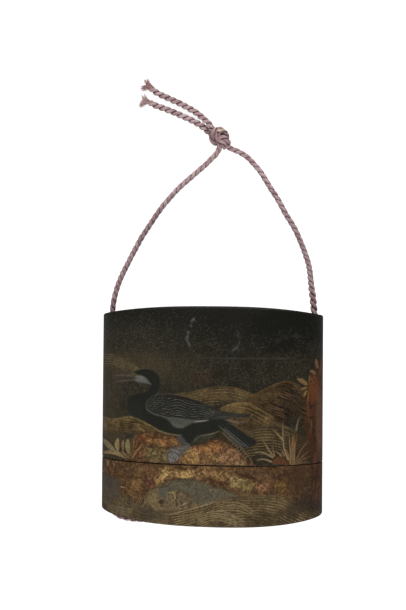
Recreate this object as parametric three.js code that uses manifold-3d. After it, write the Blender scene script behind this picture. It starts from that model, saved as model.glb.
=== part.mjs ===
// An inro: a small lacquered case in three stacked sections, threaded on one cord.
// It lies on its back with the decorated face up. Millimetres, +Z up, the lid towards +Y,
// and the origin on the surface under the middle of the case.

import * as THREE from "three";
import { mergeVertices } from "three/addons/utils/BufferGeometryUtils.js";
import Module from "manifold-3d";

const wasm = await Module();
wasm.setup();

// The closed case. Its section is an oval between an ellipse and a rectangle.
const CASE_WIDTH = 75;
const CASE_THICKNESS = 30;
const SECTION_POWER = 2.1;
const BACK_FLAT = 0.25;

// Half the height of the case at its side tips, and what the arched ends add towards the middle.
const TIP_HEIGHT = 33.1;
const ARCH_RISE = 2.45;
const ARCH_POWER = 2.8;
const CROWN = 0.4;
const EDGE_RADIUS = 0.6;

// The joints between the sections, and the lip with which each lower section enters the one above.
const UPPER_JOINT = 18.95;
const LOWER_JOINT = -15.65;
const GAP = 0.3;
const LIP_HEIGHT = 6;
const LIP_WALL = 1.2;
const HOLLOW_WIDTH = 61.2;
const HOLLOW_THICKNESS = 24;
const FLOOR = 2;

// The cord, and the runner hole that it follows near each side tip.
const CORD_DIAMETER = 2;
const CORD_SIDES = 8;
const RUNNER_RADIUS = 1.5;
const RUNNER_OUT = 34.6;
const KNOT_RING = 2.15;
const KNOT_CENTRE = [1.4, 95.9, 3.2];

// How finely the round shapes are divided.
const OVAL_STEPS = 48;
const RUNNER_SIDES = 12;
const HELD_STEPS = 48;
const LEG_STEPS = 13;
const TAIL_STEPS = 6;

const HALF_WIDTH = CASE_WIDTH / 2;
const HALF_THICKNESS = CASE_THICKNESS / 2;
const AXIS_HEIGHT = HALF_THICKNESS - BACK_FLAT;
const HOLLOW_SIZE = [HOLLOW_WIDTH / 2, HOLLOW_THICKNESS / 2];
const LIP_SIZE = HOLLOW_SIZE.map((half) => half + LIP_WALL);
const SOCKET_SIZE = LIP_SIZE.map((half) => half + GAP);
const OUTER_SIZE = [HALF_WIDTH, HALF_THICKNESS];

// Half of the run that the case holds: down the left runner, round the edge of the base and to its middle.
const HELD_HALF = [
  [-34.6, 29.8],
  [-34.6, 15],
  [-34.6, 0],
  [-34.6, -15],
  [-34.6, -27],
  [-34.6, -31],
  [-34.1, -33],
  [-32.7, -34.5],
  [-31, -35.15],
  [-28, -35.85],
  [-24, -36.4],
  [-16, -36.95],
  [-8, -37.15],
];
const HELD_MIDDLE = [0, -37.2];

// From the left mouth: out along the axis of the hole, down to the surface and up to the knot.
const LEFT_LEG = [
  [-34.6, 30.1, 14.75],
  [-34.6, 33, 14.75],
  [-34.4, 36, 14.7],
  [-34, 39, 14.2],
  [-33.5, 42, 12.9],
  [-32.9, 45, 10.9],
  [-32.1, 48, 8.5],
  [-31.2, 51, 6],
  [-30.2, 54, 3.8],
  [-29, 57, 2.2],
  [-27.6, 60, 1.4],
  [-25.8, 63, 1.1],
  [-23.8, 66, 1.1],
  [-21.8, 69, 1.1],
  [-19.6, 72, 1.1],
  [-17.2, 75, 1.1],
  [-14.6, 78, 1.1],
  [-11.5, 81, 1.1],
  [-8.1, 84, 1.1],
  [-4.6, 87, 1.15],
  [-1.4, 89.8, 1.5],
  [0.6, 92.2, 2.3],
  [1.2, 94.6, 3],
];

const RIGHT_LEG = [
  [34.6, 30.1, 14.75],
  [34.6, 33, 14.75],
  [34.3, 36, 14.7],
  [34, 39, 14.3],
  [33.6, 42, 13.2],
  [33.3, 45, 11.4],
  [33, 48, 9.2],
  [32.5, 51, 6.9],
  [31.6, 54, 4.7],
  [30.6, 57, 2.9],
  [29.4, 60, 1.7],
  [28.1, 63, 1.15],
  [26.4, 66, 1.1],
  [24.5, 69, 1.1],
  [22.9, 72, 1.1],
  [21.2, 75, 1.1],
  [19.2, 78, 1.1],
  [17.4, 81, 1.1],
  [15.5, 84, 1.1],
  [13, 87, 1.1],
  [10.4, 89.6, 1.2],
  [7.6, 91.6, 1.7],
  [5, 93.2, 2.5],
  [3, 94.8, 3],
];

// The two loose ends, from inside the knot.
const UPPER_TAIL = [
  [0.4, 97.8, 4],
  [-1.1, 99.6, 4],
  [-2.7, 101.1, 3.5],
  [-4.3, 102.7, 2.5],
  [-6.2, 104.5, 1.6],
  [-8.3, 106, 1.15],
  [-10.7, 107.4, 1.1],
  [-13.4, 108.9, 1.1],
  [-16.5, 110.4, 1.1],
  [-19.6, 111.8, 1.1],
  [-22.4, 113.3, 1.1],
  [-24.6, 115, 1.1],
  [-26, 117.2, 1.1],
];

const LOWER_TAIL = [
  [-0.4, 97, 2],
  [-2.4, 98.7, 1.7],
  [-4, 100.2, 1.25],
  [-5.7, 101.4, 1.1],
  [-7.6, 102.3, 1.1],
  [-9.9, 103.3, 1.1],
  [-12.7, 104.5, 1.1],
  [-16.2, 106, 1.1],
  [-19.6, 107.4, 1.1],
  [-22.6, 108.5, 1.1],
  [-25, 109.8, 1.1],
  [-27, 111.7, 1.1],
];

function solidFrom(geometry) {
  const bare = geometry.clone();
  bare.deleteAttribute("normal");
  bare.deleteAttribute("uv");
  const merged = mergeVertices(bare, 1e-4);
  const corners = merged.index.array;
  const kept = [];
  for (let i = 0; i < corners.length; i += 3) {
    const [a, b, c] = [corners[i], corners[i + 1], corners[i + 2]];
    if (a !== b && b !== c && c !== a) {
      kept.push(a, b, c);
    }
  }
  const mesh = new wasm.Mesh({
    numProp: 3,
    vertProperties: new Float32Array(merged.attributes.position.array),
    triVerts: new Uint32Array(kept),
  });
  return new wasm.Manifold(mesh);
}

function geometryFrom(solid) {
  const mesh = solid.getMesh();
  const geometry = new THREE.BufferGeometry();
  geometry.setAttribute("position", new THREE.BufferAttribute(mesh.vertProperties, 3));
  geometry.setIndex(new THREE.BufferAttribute(mesh.triVerts, 1));
  geometry.computeVertexNormals();
  return geometry;
}

function united(solids) {
  return solids.reduce((whole, solid) => whole.add(solid));
}

function signedPower(value, power) {
  return Math.sign(value) * Math.abs(value) ** power;
}

function archHeight(x) {
  const share = Math.min(Math.abs(x) / HALF_WIDTH, 1);
  return ARCH_RISE * (1 - share ** ARCH_POWER);
}

// Turns a round turned shape into the oval one. Within an edge radius of the rim the inset is the same
// all round, and further in the rings shrink in proportion. The two ends of the case arch outwards.
function ovalSolid([halfWidth, halfThickness], profile) {
  const geometry = new THREE.LatheGeometry(profile, OVAL_STEPS);
  const place = geometry.attributes.position;
  const archFrom = TIP_HEIGHT - FLOOR - EDGE_RADIUS - GAP;
  for (let i = 0; i < place.count; i += 1) {
    const [x, y, z] = [place.getX(i), place.getY(i), place.getZ(i)];
    const radius = Math.hypot(x, z);
    const angle = Math.atan2(z, x);
    const inset = halfWidth - radius;
    const share = radius / (halfWidth - EDGE_RADIUS);
    const acrossRim = halfThickness - inset;
    const across = inset < EDGE_RADIUS ? acrossRim : (halfThickness - EDGE_RADIUS) * share;
    const ovalX = radius * signedPower(Math.cos(angle), 2 / SECTION_POWER);
    const ovalZ = across * signedPower(Math.sin(angle), 2 / SECTION_POWER);
    const arch = Math.abs(y) > archFrom ? Math.sign(y) * archHeight(ovalX) : 0;
    place.setXYZ(i, ovalX, y + arch, ovalZ + AXIS_HEIGHT);
  }
  return solidFrom(geometry);
}

// The profile of an arched end, from its rounded edge to the middle.
function endProfile(halfWidth, height) {
  const flatRadius = halfWidth - EDGE_RADIUS;
  const points = [];
  for (const degrees of [90, 60, 30]) {
    const turn = THREE.MathUtils.degToRad(degrees);
    const radius = flatRadius + EDGE_RADIUS * Math.sin(turn);
    points.push(new THREE.Vector2(radius, height - EDGE_RADIUS * (1 - Math.cos(turn))));
  }
  for (const share of [1, 0.88, 0.7, 0.45, 0.2, 0]) {
    points.push(new THREE.Vector2(flatRadius * share, height + CROWN * (1 - share * share)));
  }
  return points;
}

function prism(size, low, high) {
  const profile = [
    new THREE.Vector2(0, low),
    new THREE.Vector2(size[0], low),
    new THREE.Vector2(size[0], high),
    new THREE.Vector2(0, high),
  ];
  return ovalSolid(size, profile);
}

// An oval block that is flat at one height and has an arched end at the top.
function blockWithTop(size, low, height) {
  const profile = [new THREE.Vector2(0, low), new THREE.Vector2(size[0], low)];
  return ovalSolid(size, profile.concat(endProfile(size[0], height)));
}

// The same with its arched end at the base.
function blockWithBase(size, high, height) {
  const end = endProfile(size[0], height).map((point) => new THREE.Vector2(point.x, -point.y));
  const profile = [new THREE.Vector2(size[0], high), new THREE.Vector2(0, high)];
  return ovalSolid(size, end.reverse().concat(profile));
}

function route(points) {
  const places = points.map(([x, y, z = AXIS_HEIGHT]) => new THREE.Vector3(x, y, z));
  return new THREE.CatmullRomCurve3(places, false, "centripetal");
}

function roundRod(points, radius, sides, steps) {
  const ring = [];
  for (let i = 0; i < sides; i += 1) {
    const angle = (2 * Math.PI * i) / sides;
    ring.push(new THREE.Vector2(radius * Math.cos(angle), radius * Math.sin(angle)));
  }
  const settings = { steps, bevelEnabled: false, extrudePath: route(points) };
  return solidFrom(new THREE.ExtrudeGeometry(new THREE.Shape(ring), settings));
}

function heldRoute() {
  const mirrored = HELD_HALF.map(([x, y]) => [-x, y]).reverse();
  return [...HELD_HALF, HELD_MIDDLE, ...mirrored];
}

// The two runner holes, open at the lid's mouths and flared into the base where the cord turns.
function runners() {
  const mouths = [-1, 1].map((side) => {
    const length = 2 * (TIP_HEIGHT - UPPER_JOINT);
    const geometry = new THREE.CylinderGeometry(RUNNER_RADIUS, RUNNER_RADIUS, length, RUNNER_SIDES);
    geometry.translate(side * RUNNER_OUT, TIP_HEIGHT, AXIS_HEIGHT);
    return solidFrom(geometry);
  });
  return united([roundRod(heldRoute(), RUNNER_RADIUS, RUNNER_SIDES, HELD_STEPS), ...mouths]);
}

const RUNNERS = runners();

// Everything below the surface that the case lies on.
function underBack() {
  const side = 4 * CASE_WIDTH;
  const geometry = new THREE.BoxGeometry(side, side, CASE_THICKNESS);
  geometry.translate(0, 0, -CASE_THICKNESS / 2);
  return solidFrom(geometry);
}

function finishSection(solid) {
  return solid.subtract(RUNNERS).subtract(underBack());
}

// The recess in the underside of a section, into which the lip below it fits.
function lipSocket(joint) {
  return prism(SOCKET_SIZE, joint - 2, joint + LIP_HEIGHT + GAP);
}

function lip(joint) {
  return prism(LIP_SIZE, joint - GAP - FLOOR, joint + LIP_HEIGHT);
}

function lid() {
  const outside = blockWithTop(OUTER_SIZE, UPPER_JOINT + GAP / 2, TIP_HEIGHT);
  const hollow = blockWithTop(HOLLOW_SIZE, UPPER_JOINT - 2, TIP_HEIGHT - FLOOR);
  return finishSection(outside.subtract(hollow).subtract(lipSocket(UPPER_JOINT)));
}

function middleCase() {
  const outside = prism(OUTER_SIZE, LOWER_JOINT + GAP / 2, UPPER_JOINT - GAP / 2);
  const floorTop = LOWER_JOINT + LIP_HEIGHT + GAP + FLOOR;
  const hollow = prism(HOLLOW_SIZE, floorTop, UPPER_JOINT + LIP_HEIGHT + 2);
  const walls = outside.add(lip(UPPER_JOINT)).subtract(hollow);
  return finishSection(walls.subtract(lipSocket(LOWER_JOINT)));
}

function bottomCase() {
  const outside = blockWithBase(OUTER_SIZE, LOWER_JOINT - GAP / 2, TIP_HEIGHT);
  const hollow = blockWithBase(HOLLOW_SIZE, LOWER_JOINT + LIP_HEIGHT + 2, TIP_HEIGHT - FLOOR);
  return finishSection(outside.add(lip(LOWER_JOINT)).subtract(hollow));
}

// The knot as a core inside three turns of cord, the first of them round the roots of the tails.
function knot(grow) {
  const cordRadius = CORD_DIAMETER / 2 + grow;
  const turns = [
    { lean: [1.45, 0, 0.75], along: [-1, 1.2, 0.1] },
    { lean: [1.2, 0.5, -0.5], along: [0.9, -0.5, 0.1] },
    { lean: [0.5, 0.9, 0.2], along: [0.3, -0.5, 0.1] },
  ];
  const solids = turns.map(({ lean, along }) => {
    const ring = new THREE.TorusGeometry(KNOT_RING, cordRadius, CORD_SIDES, 16);
    ring.applyMatrix4(new THREE.Matrix4().makeRotationFromEuler(new THREE.Euler(...lean)));
    ring.translate(...along);
    return solidFrom(ring);
  });
  solids.push(solidFrom(new THREE.SphereGeometry(KNOT_RING + grow, 12, 8)));
  return united(solids).translate(KNOT_CENTRE).subtract(underBack());
}

const KNOT_WITH_ROOM = knot(GAP);

function cordRun(points, steps) {
  const rod = roundRod(points, CORD_DIAMETER / 2, CORD_SIDES, steps);
  return rod.subtract(KNOT_WITH_ROOM);
}

const LACQUER = { color: 0x28261f, roughness: 0.3, metalness: 0 };
const SILK = { color: 0x7c5e61, roughness: 0.8, metalness: 0 };

const inro = new THREE.Group();

function addNode(name, solid, finish) {
  const mesh = new THREE.Mesh(geometryFrom(solid), new THREE.MeshStandardMaterial(finish));
  mesh.name = name;
  inro.add(mesh);
}

addNode("lid", lid(), LACQUER);
addNode("middle_case", middleCase(), LACQUER);
addNode("bottom_case", bottomCase(), LACQUER);
addNode("cord_through_case", cordRun(heldRoute(), HELD_STEPS), SILK);
addNode("cord_left_leg", cordRun(LEFT_LEG, LEG_STEPS), SILK);
addNode("cord_right_leg", cordRun(RIGHT_LEG, LEG_STEPS), SILK);
addNode("cord_knot", knot(0), SILK);
addNode("cord_upper_tail", cordRun(UPPER_TAIL, TAIL_STEPS), SILK);
addNode("cord_lower_tail", cordRun(LOWER_TAIL, TAIL_STEPS), SILK);

export default inro;
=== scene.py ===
# %% [markdown]
# # An inro case, lying on its back
# An inro is a small case of stacked sections, worn from the sash. This one has a lid, a middle case
# and a bottom case, all of wood under lacquer, and one silk cord that threads them together.
# It lies face up, the lid towards +Y. Sizes below are millimetres in the part's own frame.

# %% Load the part
import math

import bpy
import numpy as np
from mathutils import Matrix, Vector


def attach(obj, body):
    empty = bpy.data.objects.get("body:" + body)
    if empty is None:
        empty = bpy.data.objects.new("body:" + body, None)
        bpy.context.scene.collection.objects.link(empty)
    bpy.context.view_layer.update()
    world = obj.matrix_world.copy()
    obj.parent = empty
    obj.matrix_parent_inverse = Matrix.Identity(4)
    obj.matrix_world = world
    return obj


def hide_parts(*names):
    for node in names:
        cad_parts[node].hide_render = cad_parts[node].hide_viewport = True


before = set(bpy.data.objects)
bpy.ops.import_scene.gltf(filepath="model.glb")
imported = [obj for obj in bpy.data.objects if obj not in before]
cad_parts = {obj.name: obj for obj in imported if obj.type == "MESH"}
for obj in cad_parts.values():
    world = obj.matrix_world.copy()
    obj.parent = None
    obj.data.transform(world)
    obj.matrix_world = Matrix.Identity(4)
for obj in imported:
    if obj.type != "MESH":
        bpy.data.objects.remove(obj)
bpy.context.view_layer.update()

MM = 0.001


def link(obj):
    bpy.context.scene.collection.objects.link(obj)
    return obj


# %% [markdown]
# ## Camera
# The picture was taken from straight above, a little to the right of the case's middle and about
# 0.3 m up, so the side walls hardly show. A 50 mm lens on a full frame gives that perspective.

# %% Camera
CAMERA_PLACE = (29.49, 31.75, 301.84)
CAMERA_RIGHT = (0.99358, 0.00786, -0.11285)
CAMERA_UP = (-0.00602, 0.99984, 0.01663)


def add_camera():
    data = bpy.data.cameras.new("camera")
    data.lens = 50
    data.sensor_fit = "VERTICAL"
    data.sensor_height = 36
    data.clip_start = 0.01
    right = Vector(CAMERA_RIGHT).normalized()
    back = right.cross(Vector(CAMERA_UP)).normalized()
    up = back.cross(right)
    turn = Matrix((right, up, back)).transposed().to_4x4()
    camera = link(bpy.data.objects.new("camera", data))
    camera.matrix_world = Matrix.Translation(Vector(CAMERA_PLACE) * MM) @ turn
    bpy.context.scene.camera = camera


add_camera()

# %% [markdown]
# ## Small helpers for materials
# Each material is a node tree. `add` makes a node and sets its inputs, and a node or a socket given
# as an input is linked.

# %% Material helpers
def srgb(*parts):
    """A colour as picked from a screen, 0 to 255, as the linear one that the renderer uses."""
    value = np.asarray(parts, dtype=float) / 255
    return np.where(value <= 0.04045, value / 12.92, ((value + 0.055) / 1.055) ** 2.4)


def rgba(*parts):
    return (*[float(v) for v in srgb(*parts)], 1.0)


def add(tree, kind, inputs=None, **settings):
    node = tree.nodes.new(kind)
    for name, value in settings.items():
        setattr(node, name, value)
    for name, value in (inputs or {}).items():
        socket = node.inputs[name]
        if isinstance(value, bpy.types.Node):
            value = value.outputs[0]
        if isinstance(value, bpy.types.NodeSocket):
            tree.links.new(value, socket)
        else:
            socket.default_value = value
    return node


def math_node(tree, operation, a, b=0.0, clamp=False):
    return add(tree, "ShaderNodeMath", {0: a, 1: b}, operation=operation, use_clamp=clamp)


def mix_colour(tree, factor, a, b, blend="MIX"):
    return add(tree, "ShaderNodeMix", {0: factor, 6: a, 7: b}, data_type="RGBA", blend_type=blend).outputs[2]


def step_up(tree, value, low, high):
    """0 below low, 1 above high, and smooth between."""
    node = add(tree, "ShaderNodeMapRange", {0: value, 1: low, 2: high}, interpolation_type="SMOOTHSTEP")
    return node.outputs[0]


def new_material(name):
    material = bpy.data.materials.new(name)
    material.use_nodes = True
    return material, material.node_tree, material.node_tree.nodes["Principled BSDF"]


# %% [markdown]
# ## Silk cord: its dye and sheen
# The cord is dusty mauve silk. The dye has worn paler on the ridges, and yarns that lie in the grooves
# are darkened to plum as painted shade. Each yarn took the dye a little differently, so `tone` varies
# from yarn to yarn. `ridge` tells how far a yarn lies on the outside of its ply.

# %% Silk material
MAUVE = (176, 138, 141)
PLUM = (102, 68, 75)
PALE_MAUVE = (202, 178, 178)
TIP_BROWN = (200, 156, 150)


def silk_material(name, dye=MAUVE, worn=PALE_MAUVE, deep=PLUM):
    material, tree, shader = new_material(name)
    place = add(tree, "ShaderNodeTexCoord").outputs["Object"]
    tone = add(tree, "ShaderNodeAttribute", attribute_name="tone").outputs["Fac"]
    patches = add(tree, "ShaderNodeTexNoise", {"Vector": place, "Scale": 260.0, "Detail": 3.0})
    hairs = add(tree, "ShaderNodeTexNoise", {"Vector": place, "Scale": 5200.0, "Detail": 2.0})
    mixed = math_node(tree, "MULTIPLY_ADD", tone, 0.55)
    tree.links.new(patches.outputs["Fac"], mixed.inputs[2])
    light = step_up(tree, mixed, 0.55, 1.15)
    colour = mix_colour(tree, light, rgba(*dye), rgba(*worn))
    dark = step_up(tree, patches.outputs["Fac"], 0.5, 0.34)
    colour = mix_colour(tree, math_node(tree, "MULTIPLY", dark, 0.35), colour, rgba(*deep))
    height = add(tree, "ShaderNodeSeparateXYZ", {0: place}).outputs["Y"]
    handled = step_up(tree, height, 0.08, 0.036)
    colour = mix_colour(tree, math_node(tree, "MULTIPLY", handled, 0.36), colour, rgba(*deep))
    # Yarns that lie in the grooves between the plies are darkened to plum: painted shade.
    ridge = add(tree, "ShaderNodeAttribute", attribute_name="ridge").outputs["Fac"]
    groove_shade = step_up(tree, ridge, -0.15, -0.75)
    colour = mix_colour(tree, math_node(tree, "MULTIPLY", groove_shade, 0.85), colour, rgba(*deep))
    bump = add(tree, "ShaderNodeBump", {"Height": hairs.outputs["Fac"], "Distance": 0.00006})
    bump.inputs["Strength"].default_value = 0.5
    tree.links.new(colour, shader.inputs["Base Color"])
    tree.links.new(bump.outputs[0], shader.inputs["Normal"])
    shader.inputs["Roughness"].default_value = 0.62
    shader.inputs["Sheen Weight"].default_value = 0.25
    shader.inputs["Sheen Roughness"].default_value = 0.45
    return material


silk = silk_material("mauve_silk")
silk_tips = silk_material("browned_silk", dye=TIP_BROWN)

# %% [markdown]
# ## Routes of the cord
# One cord, about 0.42 m long: out of the left mouth to the knot, on as one loose end, and the same
# from the right. Between the mouths it runs inside the walls and round the base. Each leg leaves its
# mouth straight, falls to the surface within some 25 mm and lies on it up to the knot.

# %% Cord routes
AXIS_HEIGHT = 14.75
LEFT_LEG = [
    (-34.6, 30.1, 14.75), (-34.6, 33, 14.75), (-34.4, 36, 14.7), (-34, 39, 14.2), (-33.5, 42, 12.9),
    (-32.9, 45, 10.9), (-32.1, 48, 8.5), (-31.2, 51, 6), (-30.2, 54, 3.8), (-29, 57, 2.2),
    (-27.6, 60, 1.4), (-25.8, 63, 1.1), (-23.8, 66, 1.1), (-21.8, 69, 1.1), (-19.6, 72, 1.1),
    (-17.1, 74.9, 1.1), (-14.4, 77.9, 1.1), (-11.2, 80.8, 1.1), (-7.7, 83.8, 1.1), (-4.2, 86.8, 1.15),
    (-1.9, 89, 1.3), (-0.2, 90.6, 1.7), (0.8, 92.3, 2.3), (1.1, 94.4, 3),
]
RIGHT_LEG = [
    (34.6, 30.1, 14.75), (34.6, 33, 14.75), (34.3, 36, 14.7), (34, 39, 14.3), (33.6, 42, 13.2),
    (33.3, 45, 11.4), (33, 48, 9.2), (32.5, 51, 6.9), (31.6, 54, 4.7), (30.6, 57, 2.9),
    (29.4, 60, 1.7), (28.1, 63, 1.15), (26.4, 66, 1.1), (24.5, 69, 1.1), (22.9, 72, 1.1),
    (21.2, 75, 1.1), (19.2, 78, 1.1), (17.4, 81, 1.1), (15.5, 84, 1.1), (13, 87, 1.1),
    (10.4, 89.6, 1.2), (7.6, 91.2, 1.6), (5.6, 92, 1.9), (4, 92.8, 2.4), (2.5, 94.2, 3),
]
UPPER_TAIL = [
    (0.2, 96.8, 3.6), (-1.3, 98.4, 3.8), (-2.1, 99.8, 3.7), (-3, 101.1, 3.1), (-4.4, 102.6, 2.3), (-6.2, 104.3, 1.6),
    (-8.3, 106, 1.15), (-10.7, 107.4, 1.1), (-13.4, 108.9, 1.1), (-16.5, 110.4, 1.1),
    (-19.6, 111.8, 1.1), (-22.4, 113.3, 1.1), (-24.2, 114.7, 1.1),
]
LOWER_TAIL = [
    (-0.6, 96.3, 2), (-2.2, 97.6, 1.8), (-3.6, 98.9, 1.4), (-5.2, 100.3, 1.15), (-7.1, 101.6, 1.1),
    (-9.6, 103, 1.1), (-12.6, 104.4, 1.1), (-16.2, 106, 1.1), (-19.6, 107.4, 1.1),
    (-22.6, 108.5, 1.1), (-24.4, 109.5, 1.1),
]
HELD_DOWN = [(-34.6, 29.8), (-34.6, 15), (-34.6, 0), (-34.6, -15), (-34.6, -27), (-34.6, -31)]
HELD_LEFT = [(-34.3, -33.2), (-33.2, -35), (-31.4, -36.2), (-28, -36.95), (-24, -37.15), (-16, -37.2), (-8, -37.2)]
HELD_RIGHT = [(0, -37.2), (8, -37.1), (16, -36.8), (24, -36.2), (28, -35.6), (31, -34.9), (32.7, -34.3),
              (34.1, -32.9)]


def smooth_path(points, step):
    """A smooth curve through the points, as even steps of about the given size."""
    points = np.asarray(points, dtype=float)
    padded = np.vstack([2 * points[0] - points[1], points, 2 * points[-1] - points[-2]])
    pieces = []
    for i in range(len(padded) - 3):
        p0, p1, p2, p3 = padded[i : i + 4]
        knots = np.cumsum([0] + [np.linalg.norm(b - a) ** 0.5 for a, b in ((p0, p1), (p1, p2), (p2, p3))])
        t = np.linspace(knots[1], knots[2], 24, endpoint=False)[:, None]
        a1 = ((knots[1] - t) * p0 + (t - knots[0]) * p1) / (knots[1] - knots[0])
        a2 = ((knots[2] - t) * p1 + (t - knots[1]) * p2) / (knots[2] - knots[1])
        a3 = ((knots[3] - t) * p2 + (t - knots[2]) * p3) / (knots[3] - knots[2])
        b1 = ((knots[2] - t) * a1 + (t - knots[0]) * a2) / (knots[2] - knots[0])
        b2 = ((knots[3] - t) * a2 + (t - knots[1]) * a3) / (knots[3] - knots[1])
        pieces.append(((knots[2] - t) * b1 + (t - knots[1]) * b2) / (knots[2] - knots[1]))
    dense = np.vstack(pieces + [padded[-2:-1]])
    along = np.concatenate([[0], np.cumsum(np.linalg.norm(np.diff(dense, axis=0), axis=1))])
    count = max(int(round(along[-1] / step)), 2) + 1
    even = np.linspace(0, along[-1], count)
    return np.stack([np.interp(even, along, dense[:, k]) for k in range(3)], axis=1), along[-1]


def curve_object(name, paths):
    """Paths in millimetres as plain curves, ready for the strand tree."""
    data = bpy.data.curves.new(name, "CURVE")
    data.dimensions = "3D"
    for path in paths:
        spline = data.splines.new("POLY")
        spline.points.add(len(path) - 1)
        spots = np.c_[np.asarray(path) * MM, np.ones(len(path))]
        spline.points.foreach_set("co", spots.ravel())
    return link(bpy.data.objects.new(name, data))


# %% [markdown]
# ## Twisted strands
# The cord is two plies laid round each other to the left, and each ply is nine yarns laid the other
# way, which is what keeps a twisted cord from opening. One node group winds copies of a curve round
# it. Used twice, it makes plies out of the route and yarns out of the plies.

# %% Strand trees
def new_group(name, sockets):
    tree = bpy.data.node_groups.new(name, "GeometryNodeTree")
    tree.interface.new_socket("Geometry", in_out="INPUT", socket_type="NodeSocketGeometry")
    for label, kind, value in sockets:
        socket = tree.interface.new_socket(label, in_out="INPUT", socket_type=kind)
        if value is not None:
            socket.default_value = value
    tree.interface.new_socket("Geometry", in_out="OUTPUT", socket_type="NodeSocketGeometry")
    return tree, tree.nodes.new("NodeGroupInput"), tree.nodes.new("NodeGroupOutput")


def vector_math(tree, operation, a, b=None, scale=None):
    given = {index: value for index, value in ((0, a), (1, b), (3, scale)) if value is not None}
    return add(tree, "ShaderNodeVectorMath", given, operation=operation).outputs[0]


def wind_group():
    sockets = [
        ("Strands", "NodeSocketInt", 2),
        ("Across", "NodeSocketFloat", 0.5 * MM),
        ("Along", "NodeSocketFloat", 0.5 * MM),
        ("Pitch", "NodeSocketFloat", 5 * MM),
    ]
    tree, given, result = new_group("wind_strands", sockets)
    copies = add(tree, "GeometryNodeDuplicateElements", domain="SPLINE")
    tree.links.new(given.outputs["Geometry"], copies.inputs["Geometry"])
    tree.links.new(given.outputs["Strands"], copies.inputs["Amount"])
    share = math_node(tree, "DIVIDE", copies.outputs["Duplicate Index"], given.outputs["Strands"])
    length = add(tree, "GeometryNodeSplineParameter").outputs["Length"]
    turns = math_node(tree, "DIVIDE", length, given.outputs["Pitch"])
    angle = math_node(tree, "MULTIPLY", math_node(tree, "ADD", share, turns), 2 * math.pi)
    cosine = math_node(tree, "COSINE", angle).outputs[0]
    sine = math_node(tree, "SINE", angle).outputs[0]
    normal = add(tree, "GeometryNodeInputNormal").outputs[0]
    tangent = add(tree, "GeometryNodeInputTangent").outputs[0]
    side = vector_math(tree, "CROSS_PRODUCT", tangent, normal)

    def aside(to_normal, to_side):
        """A way off the curve, as its parts along the normal and across it."""
        parts = [vector_math(tree, "SCALE", way, scale=size) for way, size in ((normal, to_normal), (side, to_side))]
        return vector_math(tree, "ADD", *parts)

    capture = tree.nodes.new("GeometryNodeCaptureAttribute")
    capture.capture_items.new("VECTOR", "outward")
    capture.capture_items.new("FLOAT", "ridge")
    capture.domain = "POINT"
    tree.links.new(copies.outputs["Geometry"], capture.inputs["Geometry"])
    tree.links.new(aside(cosine, sine), capture.inputs["outward"])
    tree.links.new(math_node(tree, "SUBTRACT", cosine, 0.5).outputs[0], capture.inputs["ridge"])
    across = math_node(tree, "MULTIPLY", cosine, given.outputs["Across"]).outputs[0]
    along = math_node(tree, "MULTIPLY", sine, given.outputs["Along"]).outputs[0]
    move = add(tree, "GeometryNodeSetPosition", {"Offset": aside(across, along)})
    tree.links.new(capture.outputs["Geometry"], move.inputs["Geometry"])
    face = add(tree, "GeometryNodeSetCurveNormal", mode="FREE")
    tree.links.new(move.outputs["Geometry"], face.inputs["Curve"])
    tree.links.new(capture.outputs["outward"], face.inputs["Normal"])
    keep = add(tree, "GeometryNodeStoreNamedAttribute", {"Name": "ridge"}, data_type="FLOAT", domain="POINT")
    tree.links.new(face.outputs["Curve"], keep.inputs["Geometry"])
    tree.links.new(capture.outputs["ridge"], keep.inputs["Value"])
    tree.links.new(keep.outputs["Geometry"], result.inputs["Geometry"])
    return tree


WIND = wind_group()


def strand_numbers(tree):
    index = add(tree, "GeometryNodeInputIndex")
    return add(tree, "GeometryNodeFieldOnDomain", {"Value": index}, domain="CURVE", data_type="INT").outputs[0]


def skin(tree, given, result, strands, tone, radius, sides, **scale):
    """Ends a tree: each strand keeps its own tone and becomes a tube of the given material."""
    keep = add(tree, "GeometryNodeStoreNamedAttribute", {"Name": "tone"}, data_type="FLOAT", domain="CURVE")
    tree.links.new(strands, keep.inputs["Geometry"])
    tree.links.new(tone.outputs[1], keep.inputs["Value"])
    ring = add(tree, "GeometryNodeCurvePrimitiveCircle", {"Resolution": sides})
    tree.links.new(given.outputs[radius], ring.inputs["Radius"])
    tubes = add(tree, "GeometryNodeCurveToMesh", {"Fill Caps": True, **scale})
    tree.links.new(keep.outputs["Geometry"], tubes.inputs["Curve"])
    tree.links.new(ring.outputs["Curve"], tubes.inputs["Profile Curve"])
    smooth = add(tree, "GeometryNodeSetShadeSmooth", {"Geometry": tubes})
    real = add(tree, "GeometryNodeRealizeInstances", {"Geometry": smooth})
    dyed = add(tree, "GeometryNodeSetMaterial", {"Geometry": real})
    tree.links.new(given.outputs["Material"], dyed.inputs["Material"])
    tree.links.new(dyed.outputs["Geometry"], result.inputs["Geometry"])
    return tree


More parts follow.
